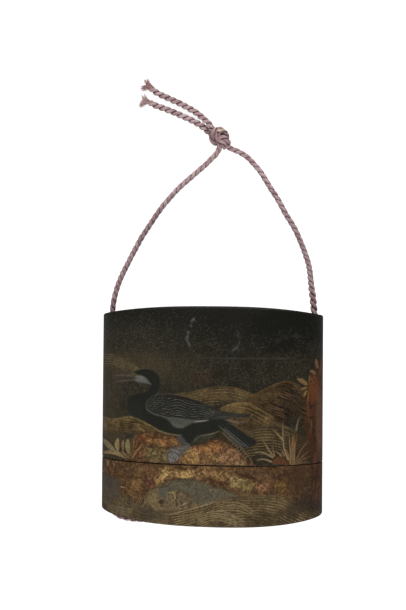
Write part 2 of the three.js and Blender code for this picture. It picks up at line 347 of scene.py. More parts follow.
def cord_group():
    sockets = [
        ("Ply offset", "NodeSocketFloat", 0.5 * MM),
        ("Ply pitch", "NodeSocketFloat", -4.7 * MM),
        ("Yarns", "NodeSocketInt", 9),
        ("Yarn across", "NodeSocketFloat", 0.31 * MM),
        ("Yarn along", "NodeSocketFloat", 0.52 * MM),
        ("Loose from", "NodeSocketFloat", 2.0),
        ("Loose up to", "NodeSocketFloat", -1.0),
        ("Yarn pitch", "NodeSocketFloat", 3.6 * MM),
        ("Yarn radius", "NodeSocketFloat", 0.2 * MM),
        ("Seed", "NodeSocketInt", 1),
        ("Material", "NodeSocketMaterial", None),
    ]
    tree, given, result = new_group("twisted_cord", sockets)
    plies = tree.nodes.new("GeometryNodeGroup")
    plies.node_tree = WIND
    yarns = tree.nodes.new("GeometryNodeGroup")
    yarns.node_tree = WIND
    factor = add(tree, "GeometryNodeSplineParameter").outputs["Factor"]
    past = math_node(tree, "SUBTRACT", factor, given.outputs["Loose from"])
    short = math_node(tree, "SUBTRACT", given.outputs["Loose up to"], factor)
    loose = math_node(tree, "MULTIPLY", math_node(tree, "MAXIMUM", past, short), 16.0, clamp=True)

    def opened(name, change):
        """The given size, and its change where the cord has come loose."""
        node = math_node(tree, "MULTIPLY_ADD", loose, change * MM)
        tree.links.new(given.outputs[name], node.inputs[2])
        return node.outputs[0]

    offset = opened("Ply offset", 0.11)
    wiring = [
        (given.outputs["Geometry"], plies.inputs["Geometry"]),
        (offset, plies.inputs["Across"]),
        (offset, plies.inputs["Along"]),
        (given.outputs["Ply pitch"], plies.inputs["Pitch"]),
        (plies.outputs["Geometry"], yarns.inputs["Geometry"]),
        (given.outputs["Yarns"], yarns.inputs["Strands"]),
        (opened("Yarn across", 0.08), yarns.inputs["Across"]),
        (opened("Yarn along", -0.05), yarns.inputs["Along"]),
        (given.outputs["Yarn pitch"], yarns.inputs["Pitch"]),
    ]
    for source, target in wiring:
        tree.links.new(source, target)
    plies.inputs["Strands"].default_value = 2
    tone = add(tree, "FunctionNodeRandomValue", {"ID": strand_numbers(tree)}, data_type="FLOAT")
    tree.links.new(given.outputs["Seed"], tone.inputs["Seed"])
    return skin(tree, given, result, yarns.outputs["Geometry"], tone, "Yarn radius", 6)


CORD_TREE = cord_group()


def as_mesh(source, tree, name, **values):
    """Runs the tree on a curve or mesh and keeps the result as a plain mesh object."""
    modifier = source.modifiers.new("tree", "NODES")
    modifier.node_group = tree
    for item in tree.interface.items_tree:
        key = item.name.lower().replace(" ", "_")
        if item.in_out == "INPUT" and key in values:
            modifier[item.identifier] = values[key]
    depsgraph = bpy.context.evaluated_depsgraph_get()
    mesh = bpy.data.meshes.new_from_object(source.evaluated_get(depsgraph), depsgraph=depsgraph)
    source.modifiers.remove(modifier)
    bpy.data.objects.remove(source)
    mesh.name = name
    return link(bpy.data.objects.new(name, mesh))


def twisted(name, paths, material=silk, **values):
    return as_mesh(curve_object(name + "_route", paths), CORD_TREE, name, material=material, **values)


# %% [markdown]
# ## The two free cords
# Both legs are laid of the same cord. The left leg goes through the knot and comes out as the lower
# loose end, the right leg as the upper one. The lay has opened past the knot and at the right mouth.

# %% Cords
YARN_STEP = 0.22

left_path, left_length = smooth_path(LEFT_LEG[1:] + LOWER_TAIL, YARN_STEP)
right_path, right_length = smooth_path(RIGHT_LEG[1:] + UPPER_TAIL, YARN_STEP)
LEFT_SHARE = smooth_path(LEFT_LEG[1:], YARN_STEP)[1] / left_length
RIGHT_SHARE = smooth_path(RIGHT_LEG[1:], YARN_STEP)[1] / right_length
cord_left = twisted("cord_left", [left_path], seed=3, loose_from=LEFT_SHARE)
cord_right = twisted("cord_right", [right_path], seed=8, loose_from=RIGHT_SHARE, loose_up_to=0.13)

# %% [markdown]
# ## The knot
# The two legs are tied together in one tight lump: a collar round the roots of the loose ends, and
# turns that cross below it. Each turn is the same twisted cord. A thin pale strand lies over its
# upper side.

# %% Knot
KNOT_STRANDS = [
    # The collar round both loose ends, and the turn that lies beside it.
    [(2.3, 97.6, 1.3), (2, 98.6, 2.4), (0.9, 99, 3.7), (-0.4, 98.3, 4.6), (-1.3, 97.2, 4.7), (-1.8, 96, 4.2),
     (-1.6, 94.9, 3.2), (-0.9, 94.3, 2.1), (0.3, 94.4, 1.2)],
    [(2.8, 97.4, 1.5), (2.4, 98.2, 2.7), (1.5, 97.9, 3.8), (0.6, 97, 4.4), (0.2, 95.8, 4.5), (0.5, 94.7, 4.1),
     (1.2, 93.8, 3), (1.9, 93.5, 1.7)],
    # The bulges at the upper right, the right and below.
    [(0.8, 96.9, 2.2), (1.8, 97.5, 3.9), (2.8, 97.7, 4.2), (3.5, 97.1, 3.3), (3.5, 96.3, 2)],
    [(1, 95.9, 3.4), (2.1, 95.7, 4.8), (3.2, 95.4, 4.8), (4, 94.7, 3.8), (4, 93.9, 2.4), (3.2, 93.3, 1.3)],
    [(1.1, 95, 3.3), (1.9, 94.4, 4.3), (2.6, 93.7, 4), (2.8, 93, 2.9), (2.3, 92.8, 1.6)],
]
LOOSE_THREAD = [(0.6, 98.2, 5.2), (1.3, 98, 5.5), (2.1, 98.3, 5.1), (2.4, 98.8, 4.2), (2, 99.2, 3.4), (1.3, 99.4, 3)]

knot_paths = [smooth_path(strand, YARN_STEP)[0] for strand in KNOT_STRANDS]
knot = twisted("knot", knot_paths, seed=5, ply_pitch=-6.2 * MM, ply_offset=0.42 * MM,
               yarn_across=0.28 * MM, yarn_along=0.5 * MM)
thread_path = smooth_path(LOOSE_THREAD, YARN_STEP)[0]
pale_silk = silk_material("pale_silk", dye=(222, 208, 184), worn=(246, 236, 216), deep=(176, 156, 124))
knot_thread = twisted("knot_thread", [thread_path], seed=6, material=pale_silk,
                      ply_offset=0.18 * MM, ply_pitch=-1.8 * MM, yarns=4,
                      yarn_across=0.12 * MM, yarn_along=0.18 * MM, yarn_radius=0.12 * MM)

# %% [markdown]
# ## Frayed ends
# The loose ends were never whipped, so the plies have opened into soft tufts. Each tuft is one drawn
# line, and a tree copies it into fibres that spread, wander and thin out towards their tips.

# %% Frayed ends
def fray_group():
    sockets = [
        ("Fibres", "NodeSocketInt", 90),
        ("Root", "NodeSocketFloat", 0.62 * MM),
        ("Spread", "NodeSocketFloat", 0.25 * MM),
        ("Radius", "NodeSocketFloat", 0.07 * MM),
        ("Seed", "NodeSocketInt", 1),
        ("Material", "NodeSocketMaterial", None),
    ]
    tree, given, result = new_group("frayed_end", sockets)
    copies = add(tree, "GeometryNodeDuplicateElements", domain="SPLINE")
    tree.links.new(given.outputs["Geometry"], copies.inputs["Geometry"])
    tree.links.new(given.outputs["Fibres"], copies.inputs["Amount"])
    fibre = strand_numbers(tree)
    random = add(tree, "FunctionNodeRandomValue", {"ID": fibre}, data_type="FLOAT_VECTOR")
    random.inputs["Min"].default_value = (-1, -1, -1)
    tree.links.new(given.outputs["Seed"], random.inputs["Seed"])
    factor = add(tree, "GeometryNodeSplineParameter").outputs["Factor"]
    opened = math_node(tree, "POWER", factor, 1.4)
    reach = math_node(tree, "MULTIPLY", opened, given.outputs["Spread"])
    width = math_node(tree, "ADD", reach, given.outputs["Root"])
    spread = vector_math(tree, "SCALE", random.outputs[0], scale=width.outputs[0])
    place = add(tree, "GeometryNodeInputPosition").outputs[0]
    shifted = vector_math(tree, "ADD", place, vector_math(tree, "SCALE", random.outputs[0], scale=0.05))
    wander = add(tree, "ShaderNodeTexNoise", {"Vector": shifted, "Scale": 420.0, "Detail": 1.0})
    centred = vector_math(tree, "SUBTRACT", wander.outputs["Color"], (0.5, 0.5, 0.5))
    bend = vector_math(tree, "SCALE", centred, scale=math_node(tree, "MULTIPLY", factor, 1.5 * MM).outputs[0])
    total = vector_math(tree, "ADD", vector_math(tree, "ADD", place, spread), bend)
    parts = add(tree, "ShaderNodeSeparateXYZ", {0: total})
    floor = math_node(tree, "MAXIMUM", parts.outputs[2], 0.12 * MM)
    final = add(tree, "ShaderNodeCombineXYZ", {0: parts.outputs[0], 1: parts.outputs[1], 2: floor})
    move = add(tree, "GeometryNodeSetPosition", {"Position": final})
    tree.links.new(copies.outputs["Geometry"], move.inputs["Geometry"])
    thin = add(tree, "ShaderNodeMapRange", {0: factor, 3: 1.0, 4: 0.35})
    sized = add(tree, "GeometryNodeSetCurveRadius", {"Curve": move.outputs[0], "Radius": thin.outputs[0]})
    tone = add(tree, "FunctionNodeRandomValue", {"ID": fibre}, data_type="FLOAT")
    return skin(tree, given, result, sized.outputs[0], tone, "Radius", 5, Scale=thin.outputs[0])


FRAY_TREE = fray_group()
UPPER_TUFTS = [
    [(-23.4, 114.2, 1.15), (-24.6, 115.3, 1.2), (-25.5, 116.4, 1.2), (-26.1, 117.5, 1.0)],
    [(-23.6, 114.4, 1.1), (-25, 115.1, 1.0), (-26.4, 115.1, 0.8), (-27.6, 114.8, 0.6)],
]
LOWER_TUFTS = [
    [(-24, 109.3, 1.15), (-25.3, 109.9, 1.2), (-26.4, 110.7, 1.1), (-27, 111.7, 1.0)],
    [(-24.2, 109.4, 1.1), (-25.8, 109.9, 1.0), (-27.2, 109.5, 0.8), (-28.2, 108.7, 0.6)],
]


def frayed(name, tufts, seed):
    paths = [smooth_path(tuft, 0.35)[0] for tuft in tufts]
    return as_mesh(curve_object(name + "_lines", paths), FRAY_TREE, name, material=silk_tips, seed=seed)


fray_upper = frayed("fray_upper", UPPER_TUFTS, 2)
fray_lower = frayed("fray_lower", LOWER_TUFTS, 9)

# %% [markdown]
# ## The run that the case holds
# From the left mouth the cord goes down inside the wall of all three sections, crosses under the
# base in a shallow groove and comes back up the right side.

# %% Held run
held_flat = HELD_DOWN + HELD_LEFT + HELD_RIGHT + [(-x, y) for x, y in reversed(HELD_DOWN)]
held_route = [(x, y, AXIS_HEIGHT) for x, y in held_flat]
held_path = smooth_path([(-34.6, 33, AXIS_HEIGHT)] + held_route + [(34.6, 33, AXIS_HEIGHT)], 0.4)[0]
cord_held = twisted("cord_held", [held_path], seed=12, yarns=7, yarn_radius=0.22 * MM)

# %% [markdown]
# ## The case: three lofted sections
# Each section is one closed shell, lofted as rings round its oval section: outside wall, rounded
# edge, arched end, and then back through the hollow inside. The front wall is divided finely, since
# the painting follows its points.

# %% Case shells
CASE_HALF = (37.5, 15.0)
SECTION_POWER = 2.1
TIP_HEIGHT = 33.1
ARCH_RISE = 2.45
ARCH_POWER = 2.8
CROWN = 0.4
EDGE_RADIUS = 0.6
UPPER_JOINT = 18.95
LOWER_JOINT = -15.65
UPPER_GAP = 0.06
LOWER_GAP = 0.26
SOCKET_ROOM = 0.3
LIP_HEIGHT = 6.0
LIP_BEVEL = 0.2
LIP_HALF = (31.8, 13.2)
SOCKET_HALF = (32.1, 13.5)
HOLLOW_HALF = (30.6, 12.0)
FLOOR = 2.0
RUNNER_RADIUS = 1.5
RUNNER_OUT = 34.6
FRONT_STEP = 0.23
BACK_STEP = 0.8


def signed_power(value, power):
    return np.sign(value) * np.abs(value) ** power


def oval(angle, half):
    power = 2 / SECTION_POWER
    x = half[0] * signed_power(np.cos(angle), power)
    z = half[1] * signed_power(np.sin(angle), power)
    return x, z


def arch(x):
    share = np.minimum(np.abs(x) / CASE_HALF[0], 1)
    return ARCH_RISE * (1 - share**ARCH_POWER)


def column_angles():
    """Angles round the oval, close together on the front and wider apart on the back."""
    fine = np.linspace(0, 2 * np.pi, 40001)
    x, z = oval(fine, CASE_HALF)
    length = np.concatenate([[0], np.cumsum(np.hypot(np.diff(x), np.diff(z)))])
    half = length[-1] / 2
    front = np.arange(0, half, FRONT_STEP)
    back = np.linspace(half, 2 * half, int(half / BACK_STEP), endpoint=False)
    return np.interp(np.concatenate([front, back]), length, fine)


ANGLES = column_angles()


def ring(half, height, arched=0):
    """One ring of the given half sizes. arched is +1 or -1 where it follows the top's or base's arch."""
    x, z = oval(ANGLES, half)
    y = np.broadcast_to(height, x.shape) + arched * arch(x)
    return np.stack([x, y, np.maximum(z + AXIS_HEIGHT, 0)], axis=1)


def inset_half(half, inset):
    return (half[0] - inset, half[1] - inset)


def end_rings(half, height, sign):
    """From the edge to the middle of an arched end: the rounded edge, then rings that shrink."""
    rings = []
    for degrees in (90, 72, 54, 36, 18):
        turn = math.radians(degrees)
        inset = EDGE_RADIUS * (1 - math.sin(turn))
        drop = EDGE_RADIUS * (1 - math.cos(turn))
        rings.append(ring(inset_half(half, inset), sign * (height - drop), sign))
    for share in (1, 0.97, 0.93, 0.87, 0.8, 0.7, 0.6, 0.5, 0.4, 0.3, 0.2, 0.1, 0.03):
        flat = [size * share for size in inset_half(half, EDGE_RADIUS)]
        rings.append(ring(flat, sign * (height + CROWN * (1 - share * share)), sign))
    return rings


def wall_rings(start, stop, step):
    """Rows of a straight wall between two rings."""
    rows = max(int(abs(stop[:, 1].mean() - start[:, 1].mean()) / step), 1)
    return [start + (stop - start) * t for t in np.linspace(0, 1, rows + 1)]


def flat_rings(half, height):
    """A flat floor, from its outline to the middle."""
    return [ring([size * share for size in half], height) for share in (1, 0.98, 0.9, 0.7, 0.4, 0.15, 0.03)]


def edge(height, towards, soft=1.0):
    """The softened edge of a wall at a joint, from the joint's face on to the wall."""
    steps = ((0.22, 0), (0.07, 0.05), (0, 0.2))
    return [ring(inset_half(CASE_HALF, inset * soft), height + towards * up * soft) for inset, up in steps]


def lip_rings(top, foot):
    """A lip from the hollow over its bevelled rim down to its foot."""
    rim = [ring(inset_half(LIP_HALF, LIP_BEVEL), top), ring(LIP_HALF, top - LIP_BEVEL)]
    return [ring(HOLLOW_HALF, top), *rim, ring(LIP_HALF, foot)]


def lid_rings():
    low = UPPER_JOINT + UPPER_GAP / 2
    bottom = edge(low, 1, 0.4)
    top = end_rings(CASE_HALF, TIP_HEIGHT, 1)
    inner = end_rings(HOLLOW_HALF, TIP_HEIGHT - FLOOR, 1)
    socket_top = UPPER_JOINT + LIP_HEIGHT + SOCKET_ROOM
    sockets = [ring(SOCKET_HALF, low), ring(SOCKET_HALF, socket_top), ring(HOLLOW_HALF, socket_top)]
    wall = wall_rings(bottom[-1], top[0], 0.26)
    return top[:0:-1] + wall[::-1] + bottom[1::-1] + sockets + inner


def middle_rings():
    high = UPPER_JOINT - UPPER_GAP / 2
    low = LOWER_JOINT + LOWER_GAP / 2
    top_edge = edge(high, -1, 0.4)
    low_edge = edge(low, 1)
    wall = wall_rings(top_edge[-1], low_edge[-1], FRONT_STEP)
    floor_top = LOWER_JOINT + LIP_HEIGHT + SOCKET_ROOM + FLOOR
    inside = flat_rings(HOLLOW_HALF, floor_top)[::-1]
    lip = lip_rings(UPPER_JOINT + LIP_HEIGHT, high)
    under = flat_rings(SOCKET_HALF, floor_top - FLOOR)
    return inside + lip + top_edge[:-1] + wall + low_edge[1::-1] + [ring(SOCKET_HALF, low)] + under


def bottom_rings():
    high = LOWER_JOINT - LOWER_GAP / 2
    top_edge = edge(high, -1)
    base = end_rings(CASE_HALF, TIP_HEIGHT, -1)
    wall = wall_rings(top_edge[-1], base[0], FRONT_STEP)
    inside = end_rings(HOLLOW_HALF, TIP_HEIGHT - FLOOR, -1)[::-1]
    lip = lip_rings(LOWER_JOINT + LIP_HEIGHT, high)
    return inside + lip + top_edge[:-1] + wall + base[1:]


def shell(name, rings):
    """A closed mesh through the rings, with a middle point at each end."""
    columns = len(ANGLES)
    points = np.vstack(rings)
    first, last = rings[0].mean(axis=0), rings[-1].mean(axis=0)
    points = np.vstack([points, first, last]) * MM
    here = np.arange(columns)
    after = (here + 1) % columns
    rows = np.arange(len(rings) - 1)[:, None] * columns
    quads = np.stack([rows + here, rows + after, rows + columns + after, rows + columns + here], axis=-1)
    end = (len(rings) - 1) * columns
    count = len(rings) * columns
    caps = [(count, b, a) for a, b in zip(here, after)] + [(count + 1, end + a, end + b) for a, b in zip(here, after)]
    mesh = bpy.data.meshes.new(name)
    mesh.from_pydata(points.tolist(), [], quads.reshape(-1, 4).tolist() + [list(map(int, c)) for c in caps])
    mesh.validate()
    mesh.update()
    return link(bpy.data.objects.new(name, mesh))


def tube(path, radius, sides=32):
    """A closed round rod along a path that stays in the plane z = AXIS_HEIGHT."""
    path = np.asarray(path, dtype=float)
    tangent = np.gradient(path, axis=0)
    tangent /= np.linalg.norm(tangent, axis=1)[:, None]
    up = np.array([0.0, 0.0, 1.0])
    side = np.cross(tangent, up)
    radius = np.broadcast_to(radius, len(path))[:, None]
    angles = np.linspace(0, 2 * np.pi, sides, endpoint=False)
    rings = [path + radius * (math.cos(a) * side + math.sin(a) * up) for a in angles]
    points = np.stack(rings, axis=1).reshape(-1, 3)
    faces = []
    for i in range(len(path) - 1):
        for j in range(sides):
            k = (j + 1) % sides
            faces.append((i * sides + j, i * sides + k, (i + 1) * sides + k, (i + 1) * sides + j))
    faces.append(tuple(range(sides))[::-1])
    faces.append(tuple((len(path) - 1) * sides + j for j in range(sides)))
    mesh = bpy.data.meshes.new("cutter")
    mesh.from_pydata((points * MM).tolist(), [], faces)
    mesh.update()
    return link(bpy.data.objects.new("cutter", mesh))


def cut(obj, cutter):
    """Takes the cutter out of the object, which stays a plain mesh."""
    modifier = obj.modifiers.new("cut", "BOOLEAN")
    modifier.operation = "DIFFERENCE"
    modifier.solver = "MANIFOLD"
    modifier.object = cutter
    depsgraph = bpy.context.evaluated_depsgraph_get()
    mesh = bpy.data.meshes.new_from_object(obj.evaluated_get(depsgraph), depsgraph=depsgraph)
    obj.modifiers.remove(modifier)
    obj.data = mesh
    bpy.data.objects.remove(cutter)


# The mouths flare a little, as they do where the cord has pulled over them for years: height, radius.
MOUTH = [(17, 1.5), (33.6, 1.5), (34.2, 1.55), (34.7, 1.68), (35.1, 1.85), (35.4, 2.05), (36.5, 2.6)]
MIDDLE_RUNNER = [(-18, RUNNER_RADIUS), (0, RUNNER_RADIUS), (21, RUNNER_RADIUS)]


def runner(side, profile):
    heights, radii = zip(*profile)
    return tube([(side * RUNNER_OUT, y, AXIS_HEIGHT) for y in heights], radii)


lid = shell("lid_lacquer", lid_rings())
middle = shell("middle_lacquer", middle_rings())
bottom = shell("bottom_lacquer", bottom_rings())
for side in (-1, 1):
    cut(lid, runner(side, MOUTH))
    cut(middle, runner(side, MIDDLE_RUNNER))
cut(bottom, tube(smooth_path(held_route[3:-3], 0.8)[0], RUNNER_RADIUS))

for section in (lid, middle, bottom):
    section.data.shade_smooth()
    section.data.set_sharp_from_angle(angle=math.radians(40))

# %% [markdown]
# ## The painting
# A maker of such a case brushed the picture in wet lacquer and dusted it with gold powder, layer over
# layer: first the dusted sky, then swells of water with fine contour lines, rocks, plants, and last
# a long-necked water bird. Here each layer is a shape in millimetres on the face, and the brush
# lays its colour on the wall's own points. Fine lines are kept as a running number, from which the
# material draws them sharp.

# %% The painter's tools
def arc_table():
    """Length along the wall from the middle of the front, against x."""
    angle = np.linspace(np.pi / 2, 0, 4001)
    x, z = oval(angle, CASE_HALF)
    length = np.concatenate([[0], np.cumsum(np.hypot(np.diff(x), np.diff(z)))])
    return x, length


ARC_X, ARC_LENGTH = arc_table()
QUARTER = ARC_LENGTH[-1]
ROUND = 4 * QUARTER


def round_place(x, z):
    """How far round the wall a point is: 0 in the middle of the front, growing to the right."""
    length = np.interp(np.abs(x), ARC_X, ARC_LENGTH)
    return np.sign(x) * np.where(z > AXIS_HEIGHT, length, 2 * QUARTER - length)


def on_front(x):
    return float(np.sign(x) * np.interp(abs(x), ARC_X, ARC_LENGTH))


def hashed(i, j, k, seed):
    n = (i * 73856093) ^ (j * 19349663) ^ (k * 83492791) ^ (seed * 915488749)
    n = n & 0x7FFFFFFF
    n = ((n ^ (n >> 13)) * 1274126177) & 0x7FFFFFFF
    return ((n ^ (n >> 15)) & 0xFFFF) / 65535


# The lattice of the random patches is turned, so that it never lines up with the case.
TURNED = np.array([[0.8, 0.48, -0.36], [-0.6, 0.64, -0.48], [0.0, 0.6, 0.8]])


def fog(points, size, seed=0, octaves=3):
    """Soft random patches of about the given size, from 0 to 1."""
    points = points @ TURNED
    total, weight = 0.0, 0.0
    for octave in range(octaves):
        place = points / size * 2**octave + 91.7
        cell = np.floor(place).astype(np.int64)
        part = place - cell
        part = part * part * (3 - 2 * part)
        value = 0.0
        for corner in range(8):
            step = np.array([corner & 1, corner >> 1 & 1, corner >> 2])
            share = np.prod(np.where(step == 1, part, 1 - part), axis=1)
            i, j, k = (cell + step).T
            value = value + share * hashed(i, j, k, seed + octave)
        total = total + value * 0.55**octave
        weight += 0.55**octave
    return np.clip((total / weight - 0.5) * 1.7 + 0.5, 0, 1)


def ramp(value, low, high):
    t = np.clip((value - low) / (high - low), 0, 1)
    return t * t * (3 - 2 * t)


def rounded(points, closed, per=6):
    """A smooth line through the drawn points."""
    points = np.asarray(points, dtype=float)
    if closed:
        padded = np.vstack([points[-1:], points, points[:2]])
    else:
        padded = np.vstack([2 * points[0] - points[1], points, 2 * points[-1] - points[-2]])
    t = np.linspace(0, 1, per, endpoint=False)[:, None]
    parts = []
    for i in range(len(padded) - 3):
        a, b, c, d = padded[i : i + 4]
        square, cube = 2 * a - 5 * b + 4 * c - d, 3 * b - a - 3 * c + d
        parts.append(0.5 * (2 * b + (c - a) * t + square * t**2 + cube * t**3))
    return np.vstack(parts + ([] if closed else [padded[-2:-1]]))


class Canvas:
    """The points of one section's wall, and what has been brushed on them so far."""

    def __init__(self, points):
        self.points = points
        self.x, self.y, self.z = points.T
        self.s = round_place(self.x, self.z)
        self.front = self.z > AXIS_HEIGHT
        self.paint = np.tile(np.array([30, 29, 25]) / 255, (len(points), 1))
        self.ink = self.paint.copy()
        self.phase = np.zeros(len(points))
        self.fine = np.zeros(len(points))
        self.gold = np.zeros(len(points))
        self.dust = np.full(len(points), 0.05)
        self.fogs = {}

    def fog(self, size, seed=0, octaves=3):
        key = (size, seed, octaves)
        if key not in self.fogs:
            self.fogs[key] = fog(self.points, size, seed, octaves)
        return self.fogs[key]

    def brush(self, cover, colour, gold=None, dust=None):
        here = np.flatnonzero(cover > 0)
        share = np.minimum(cover[here], 1)
        self.paint[here] += (np.asarray(colour, dtype=float) / 255 - self.paint[here]) * share[:, None]
        self.fine[here] *= 1 - share
        if gold is not None:
            self.gold[here] += (gold - self.gold[here]) * share
        if dust is not None:
            self.dust[here] += (dust - self.dust[here]) * share

    def spot(self, x, y, wide, high, outer=1.1, inner=0.5):
        """A soft oval on the front, of the given half sizes."""
        return ramp(np.hypot((self.x - x) / wide, (self.y - y) / high), outer, inner) * self.front

    def lines(self, cover, phase, strength, colour):
        """Fine lines wherever the phase passes a whole number."""
        here = cover > 0.5
        self.phase[here] = np.broadcast_to(phase, self.x.shape)[here]
        self.ink[here] = np.asarray(colour) / 255
        self.fine[here] = (strength * cover)[here]

    def near(self, outline, margin, front=True):
        across = self.x if front else self.s
        low, high = outline.min(axis=0) - margin, outline.max(axis=0) + margin
        inside = (across > low[0]) & (across < high[0]) & (self.y > low[1]) & (self.y < high[1])
        if front:
            inside &= self.front
        return np.flatnonzero(inside), across

    def shape(self, drawn, soft=0.3, front=True, rough=0.0, seed=0):
        """How far a closed shape covers each point. rough makes its edge ragged, in millimetres."""
        outline = rounded(drawn, True)
        cover = np.zeros(len(self.x))
        here, across = self.near(outline, 1.0 + rough, front)
        px, py = across[here], self.y[here]
        if rough:
            wobble = fog(self.points[here], 1.6, seed, 2) - 0.5
        best = np.full(len(here), 1e9)
        inside = np.zeros(len(here), dtype=bool)
        for (ax, ay), (bx, by) in zip(outline, np.roll(outline, -1, axis=0)):
            dx, dy = bx - ax, by - ay
            t = np.clip(((px - ax) * dx + (py - ay) * dy) / (dx * dx + dy * dy + 1e-12), 0, 1)
            best = np.minimum(best, np.hypot(px - ax - t * dx, py - ay - t * dy))
            crosses = (ay > py) != (by > py)
            inside ^= crosses & (px < ax + (py - ay) * dx / (by - ay if by != ay else 1e-12))
        signed = np.where(inside, best, -best)
        if rough:
            signed = signed + 2 * rough * wobble
        cover[here] = np.clip(signed / soft + 0.5, 0, 1)
        return cover

    def stroke(self, drawn, width, taper="both", soft=0.24, front=True):
        """How far one brush stroke covers each point."""
        line = rounded(drawn, False)
        cover = np.zeros(len(self.x))
        here, across = self.near(line, width + 0.5, front)
        px, py = across[here], self.y[here]
        best = np.full(len(here), 1e9)
        where = np.zeros(len(here))
        for i, ((ax, ay), (bx, by)) in enumerate(zip(line[:-1], line[1:])):
            dx, dy = bx - ax, by - ay
            t = np.clip(((px - ax) * dx + (py - ay) * dy) / (dx * dx + dy * dy + 1e-12), 0, 1)
            distance = np.hypot(px - ax - t * dx, py - ay - t * dy)
            closer = distance < best
            best = np.where(closer, distance, best)
            where = np.where(closer, (i + t) / (len(line) - 1), where)
        shares = {"both": np.sin(np.pi * where) ** 0.6, "end": np.sqrt(np.clip(1 - where, 0, 1))}
        half = width / 2 * shares[taper]
        cover[here] = np.clip((half - best) / soft + 0.5, 0, 1) * np.clip(half / (0.3 * soft), 0, 1)
        return cover


# %% [markdown]
# ### Sky and swells
# The sky is bare black at the top and takes more and more gold dust towards the water. The swells
# are drawn as crests, far ones first. Below each crest fine lines repeat its curve.

# %% Sky and swells
def sky(c):
    patches = c.fog(9, 1)
    fall = ramp(c.y, 33, 12)
    left = ramp(c.s, 6, -30) * ramp(c.s, -64, -40)
    c.brush(0.55 * fall * (0.35 + 0.9 * patches), (46, 40, 27), gold=0.25, dust=0.5)
    c.brush(left * ramp(c.y, 34, 26) * 0.8, (43, 40, 33), gold=0.1, dust=0.45)
    c.brush(left * ramp(c.y, 23, 17) * ramp(c.y, 9, 14) * 0.7 * (0.4 + patches), (70, 57, 41), gold=0.4, dust=0.6)
    c.brush(left * ramp(c.y, 14, 9) * ramp(c.s, -28, -34) * 0.6, (66, 56, 43), gold=0.3, dust=0.5)
    olive = ramp(c.y, 27, 15) * ramp(c.fog(5, 7), 0.45, 0.75) * ramp(c.s, 8, -12)
    c.brush(0.5 * olive, (52, 45, 27), gold=0.3, dust=0.7)
    red = c.spot(-2, 13, 5, 3.4, 1.15, 0.4)
    c.brush(0.4 * red, (60, 40, 30), gold=0.3, dust=0.6)
    right_top = ramp(np.hypot((c.s - 26) / 16, (c.y - 28) / 9), 1.15, 0.5)
    c.brush(right_top * 0.8, (23, 23, 20), gold=0, dust=0.03)
    c.dust += 0.5 * ramp(c.y, 32, 20) * ramp(c.fog(3, 4), 0.2, 0.7) + 0.25 * left


def x_crest(*points):
    """Crest points that were measured on the front, as places round the wall."""
    return [(on_front(x), y) for x, y in points]


SWELLS = [
    # Low banks of mist on the left, and what goes on round the back.
    dict(crest=x_crest((-37.4, 19.4), (-33, 19.5), (-30, 18.9), (-27, 17.6), (-24, 16), (-21, 14.6)), depth=6,
         colour=(70, 61, 44), edge=0.3, spacing=0.8, lines=0.8, slant=0.2, ink=(100, 88, 60)),
    dict(crest=[(-50, 14), (-46, 18.6), *x_crest((-37.4, 19.4))], depth=8,
         colour=(68, 58, 42), edge=0.3, spacing=0.8, lines=0.7, slant=0.0, ink=(96, 84, 58)),
    dict(crest=[(52, 8), (60, 11.5), (70, 12.4), (80, 10.4), (90, 8.6), (100, 9.8), (110, 13), (118, 13.6),
                (126, 10)],
         depth=15, colour=(60, 51, 35), edge=0.5, spacing=0.9, lines=0.9, slant=0.3, ink=(104, 90, 58)),
    dict(crest=x_crest((-14, 5.2), (-10, 7.2), (-5, 8), (0, 9.3), (5, 9.9), (10, 9.4), (14, 7.9), (18, 5.4)), depth=8,
         colour=(69, 56, 36), edge=0.6, spacing=0.95, lines=0.9, slant=0.1, ink=(114, 97, 63)),
    dict(crest=x_crest((3, 2.4), (7.5, 4.2), (12.5, 6), (15, 7.3), (17.5, 8.7), (20, 10), (22.5, 11.1), (25, 11.7),
                       (27.5, 11.3), (30, 9.8), (33, 7), (37, 3)), depth=16,
         colour=(66, 51, 31), edge=0.8, spacing=0.9, lines=1.4, slant=0.8, ink=(34, 20, 11), from_x=13),
    dict(crest=x_crest((3.4, 2.4), (5, 3.3), (8, 4.4), (11, 4.9), (13.5, 4.6), (16, 3.4), (18.5, 1.9), (21, 0.4),
                       (24, -1.4), (27, -3.4), (30, -6)), depth=8,
         colour=(88, 71, 43), edge=0.9, spacing=1.0, lines=1.2, slant=0.4, ink=(44, 30, 16), from_x=8),
    dict(crest=x_crest((10.5, -5.2), (14, -3.7), (17, -3), (20, -2.7), (23, -2.9), (26, -3.8), (30, -6), (34, -9)),
         depth=13, colour=(53, 43, 28), edge=0.9, spacing=0.9, lines=0.9, slant=0.2, ink=(108, 91, 60)),
    dict(crest=[(50, -3), (58, -0.5), (66, 1.8), (74, 1.2), (82, -1.6), (90, -3.4), (98, -2.2), (106, 0.4),
                (114, 0.2), (122, -2.4), (130, -2.4)], depth=14,
         colour=(70, 58, 38), edge=0.6, spacing=0.9, lines=0.9, slant=0.4, ink=(112, 95, 62)),
    dict(crest=[(-52, -5), (-46, -2.8), *x_crest((-37, -1.9), (-33, -2), (-30, -1.6), (-27, -0.8), (-24.5, -0.8),
                (-22, -1.6), (-20, -2.6), (-17.5, -3.7), (-15.5, -4.7), (-13, -5.5), (-10, -5.9))], depth=8,
         colour=(87, 72, 45), edge=0.9, spacing=0.8, lines=1.1, slant=0.35, ink=(44, 31, 16), from_x=-34),
]
